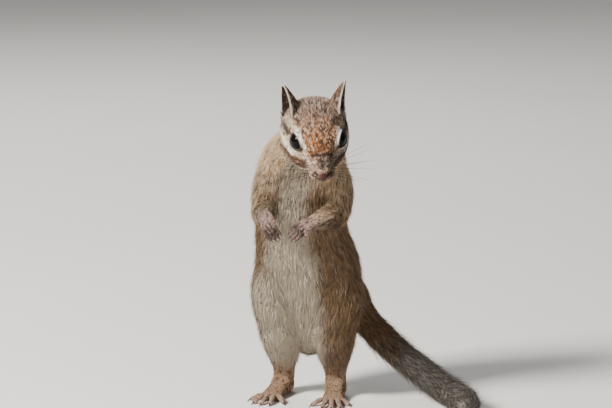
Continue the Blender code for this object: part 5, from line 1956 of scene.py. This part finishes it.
@dataclass
class Studio:
    """Plain pale floor, soft lights, and the camera at the photo's angle."""

    elevation: float = 10.0
    distance: float = 1.462
    lens: float = 200.0
    target_height: float = 0.085
    light_height: float = 0.08
    floor_reach: float = 6.0
    floor_drop: float = 0.02
    lights = (
        # name, place in metres, size, power and tint
        ("key_light", (-0.85, -0.50, 0.80), 0.34, 40.0, (1.0, 0.955, 0.88)),
        ("fill_light", (0.9, -0.9, 0.45), 0.9, 0.8, (0.95, 0.97, 1.0)),
        ("back_light", (-0.25, 0.95, 0.75), 0.5, 6.0, (1.0, 0.98, 0.94)),
    )

    def camera(self) -> None:
        """The camera, low and in front."""
        target = Vector((SHIFT[0] * MM, SHIFT[1] * MM, self.target_height))
        lift = math.radians(self.elevation)
        away = Vector((0.0, -math.cos(lift), math.sin(lift)))
        data = bpy.data.cameras.new("camera")
        data.lens = self.lens
        data.sensor_width = 36.0
        data.clip_start = 0.05
        made = linked("camera", data)
        made.location = target + away * self.distance
        made.rotation_euler = away.to_track_quat("Z", "Y").to_euler()
        bpy.context.scene.camera = made

    def light(self, name: str, place: tuple, size: float, power: float, tint: tuple) -> None:
        """A square soft light that faces the animal."""
        data = bpy.data.lights.new(name, "AREA")
        data.size, data.energy, data.color = size, power, tint
        made = linked(name, data)
        made.location = place
        away = Vector(place) - Vector((0, 0, self.light_height))
        made.rotation_euler = away.to_track_quat("Z", "Y").to_euler()

    def build(self, floor_finish: bpy.types.Material) -> None:
        """Floor, lights, world and camera."""
        corners = np.array(((-1, -1, 0), (1, -1, 0), (1, 1, 0), (-1, 1, 0)), float)
        points = corners * self.floor_reach / MM - SHIFT
        points[:, 2] = -self.floor_drop
        floor = make_object("floor", points, [(0, 1, 2, 3)], smooth=False)
        floor.data.materials.append(floor_finish)
        for row in self.lights:
            self.light(*row)
        world = bpy.data.worlds.new("studio_world")
        world.use_nodes = True
        backdrop = world.node_tree.nodes["Background"]
        backdrop.inputs["Color"].default_value = (0.80, 0.81, 0.82, 1.0)
        backdrop.inputs["Strength"].default_value = 0.25
        bpy.context.scene.world = world
        self.camera()


def main() -> None:
    """Builds the animal and the studio in order."""
    logging.basicConfig(level=logging.INFO, format="%(message)s")
    mottle = mottle_group()
    finishes = {finish.name: finish.build(mottle) for finish in FINISHES}
    flesh = Skin()
    skin = flesh.build()
    flesh.dress(skin, finishes["skin_under_fur"])
    LOG.info("skin has %d faces", len(skin.data.polygons))
    coat = Coat(skin)
    coat.dress(coat.grow(), finishes["fur_coat"])
    Eyeballs().build(finishes["glossy_eye"])
    whiskers = Whiskers().paths()
    fingers = [digit.claw_path() for arm in ARMS for digit in hand_digits(arm) if digit.claw]
    toes = [digit.claw_path() for leg in LEGS for digit in Foot(leg).digits()]
    for strands, paths, finish, slot in (
        (Strands("whiskers", 0.11, 0.025, 6), whiskers, "whisker_hair", "brown_fur"),
        (Strands("claws_fore", 0.48, 0.05, 12), fingers, "dark_horn", "bare_skin"),
        (Strands("claws_hind", 0.52, 0.06, 12), toes, "dark_horn", "bare_skin"),
    ):
        obj = strands.build(paths, finishes[finish])
        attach(obj, "root")
        LOG.info("%s has %d faces", obj.name, len(obj.data.polygons))
    Studio().build(finishes["pale_floor"])


if __name__ == "__main__":
    main()
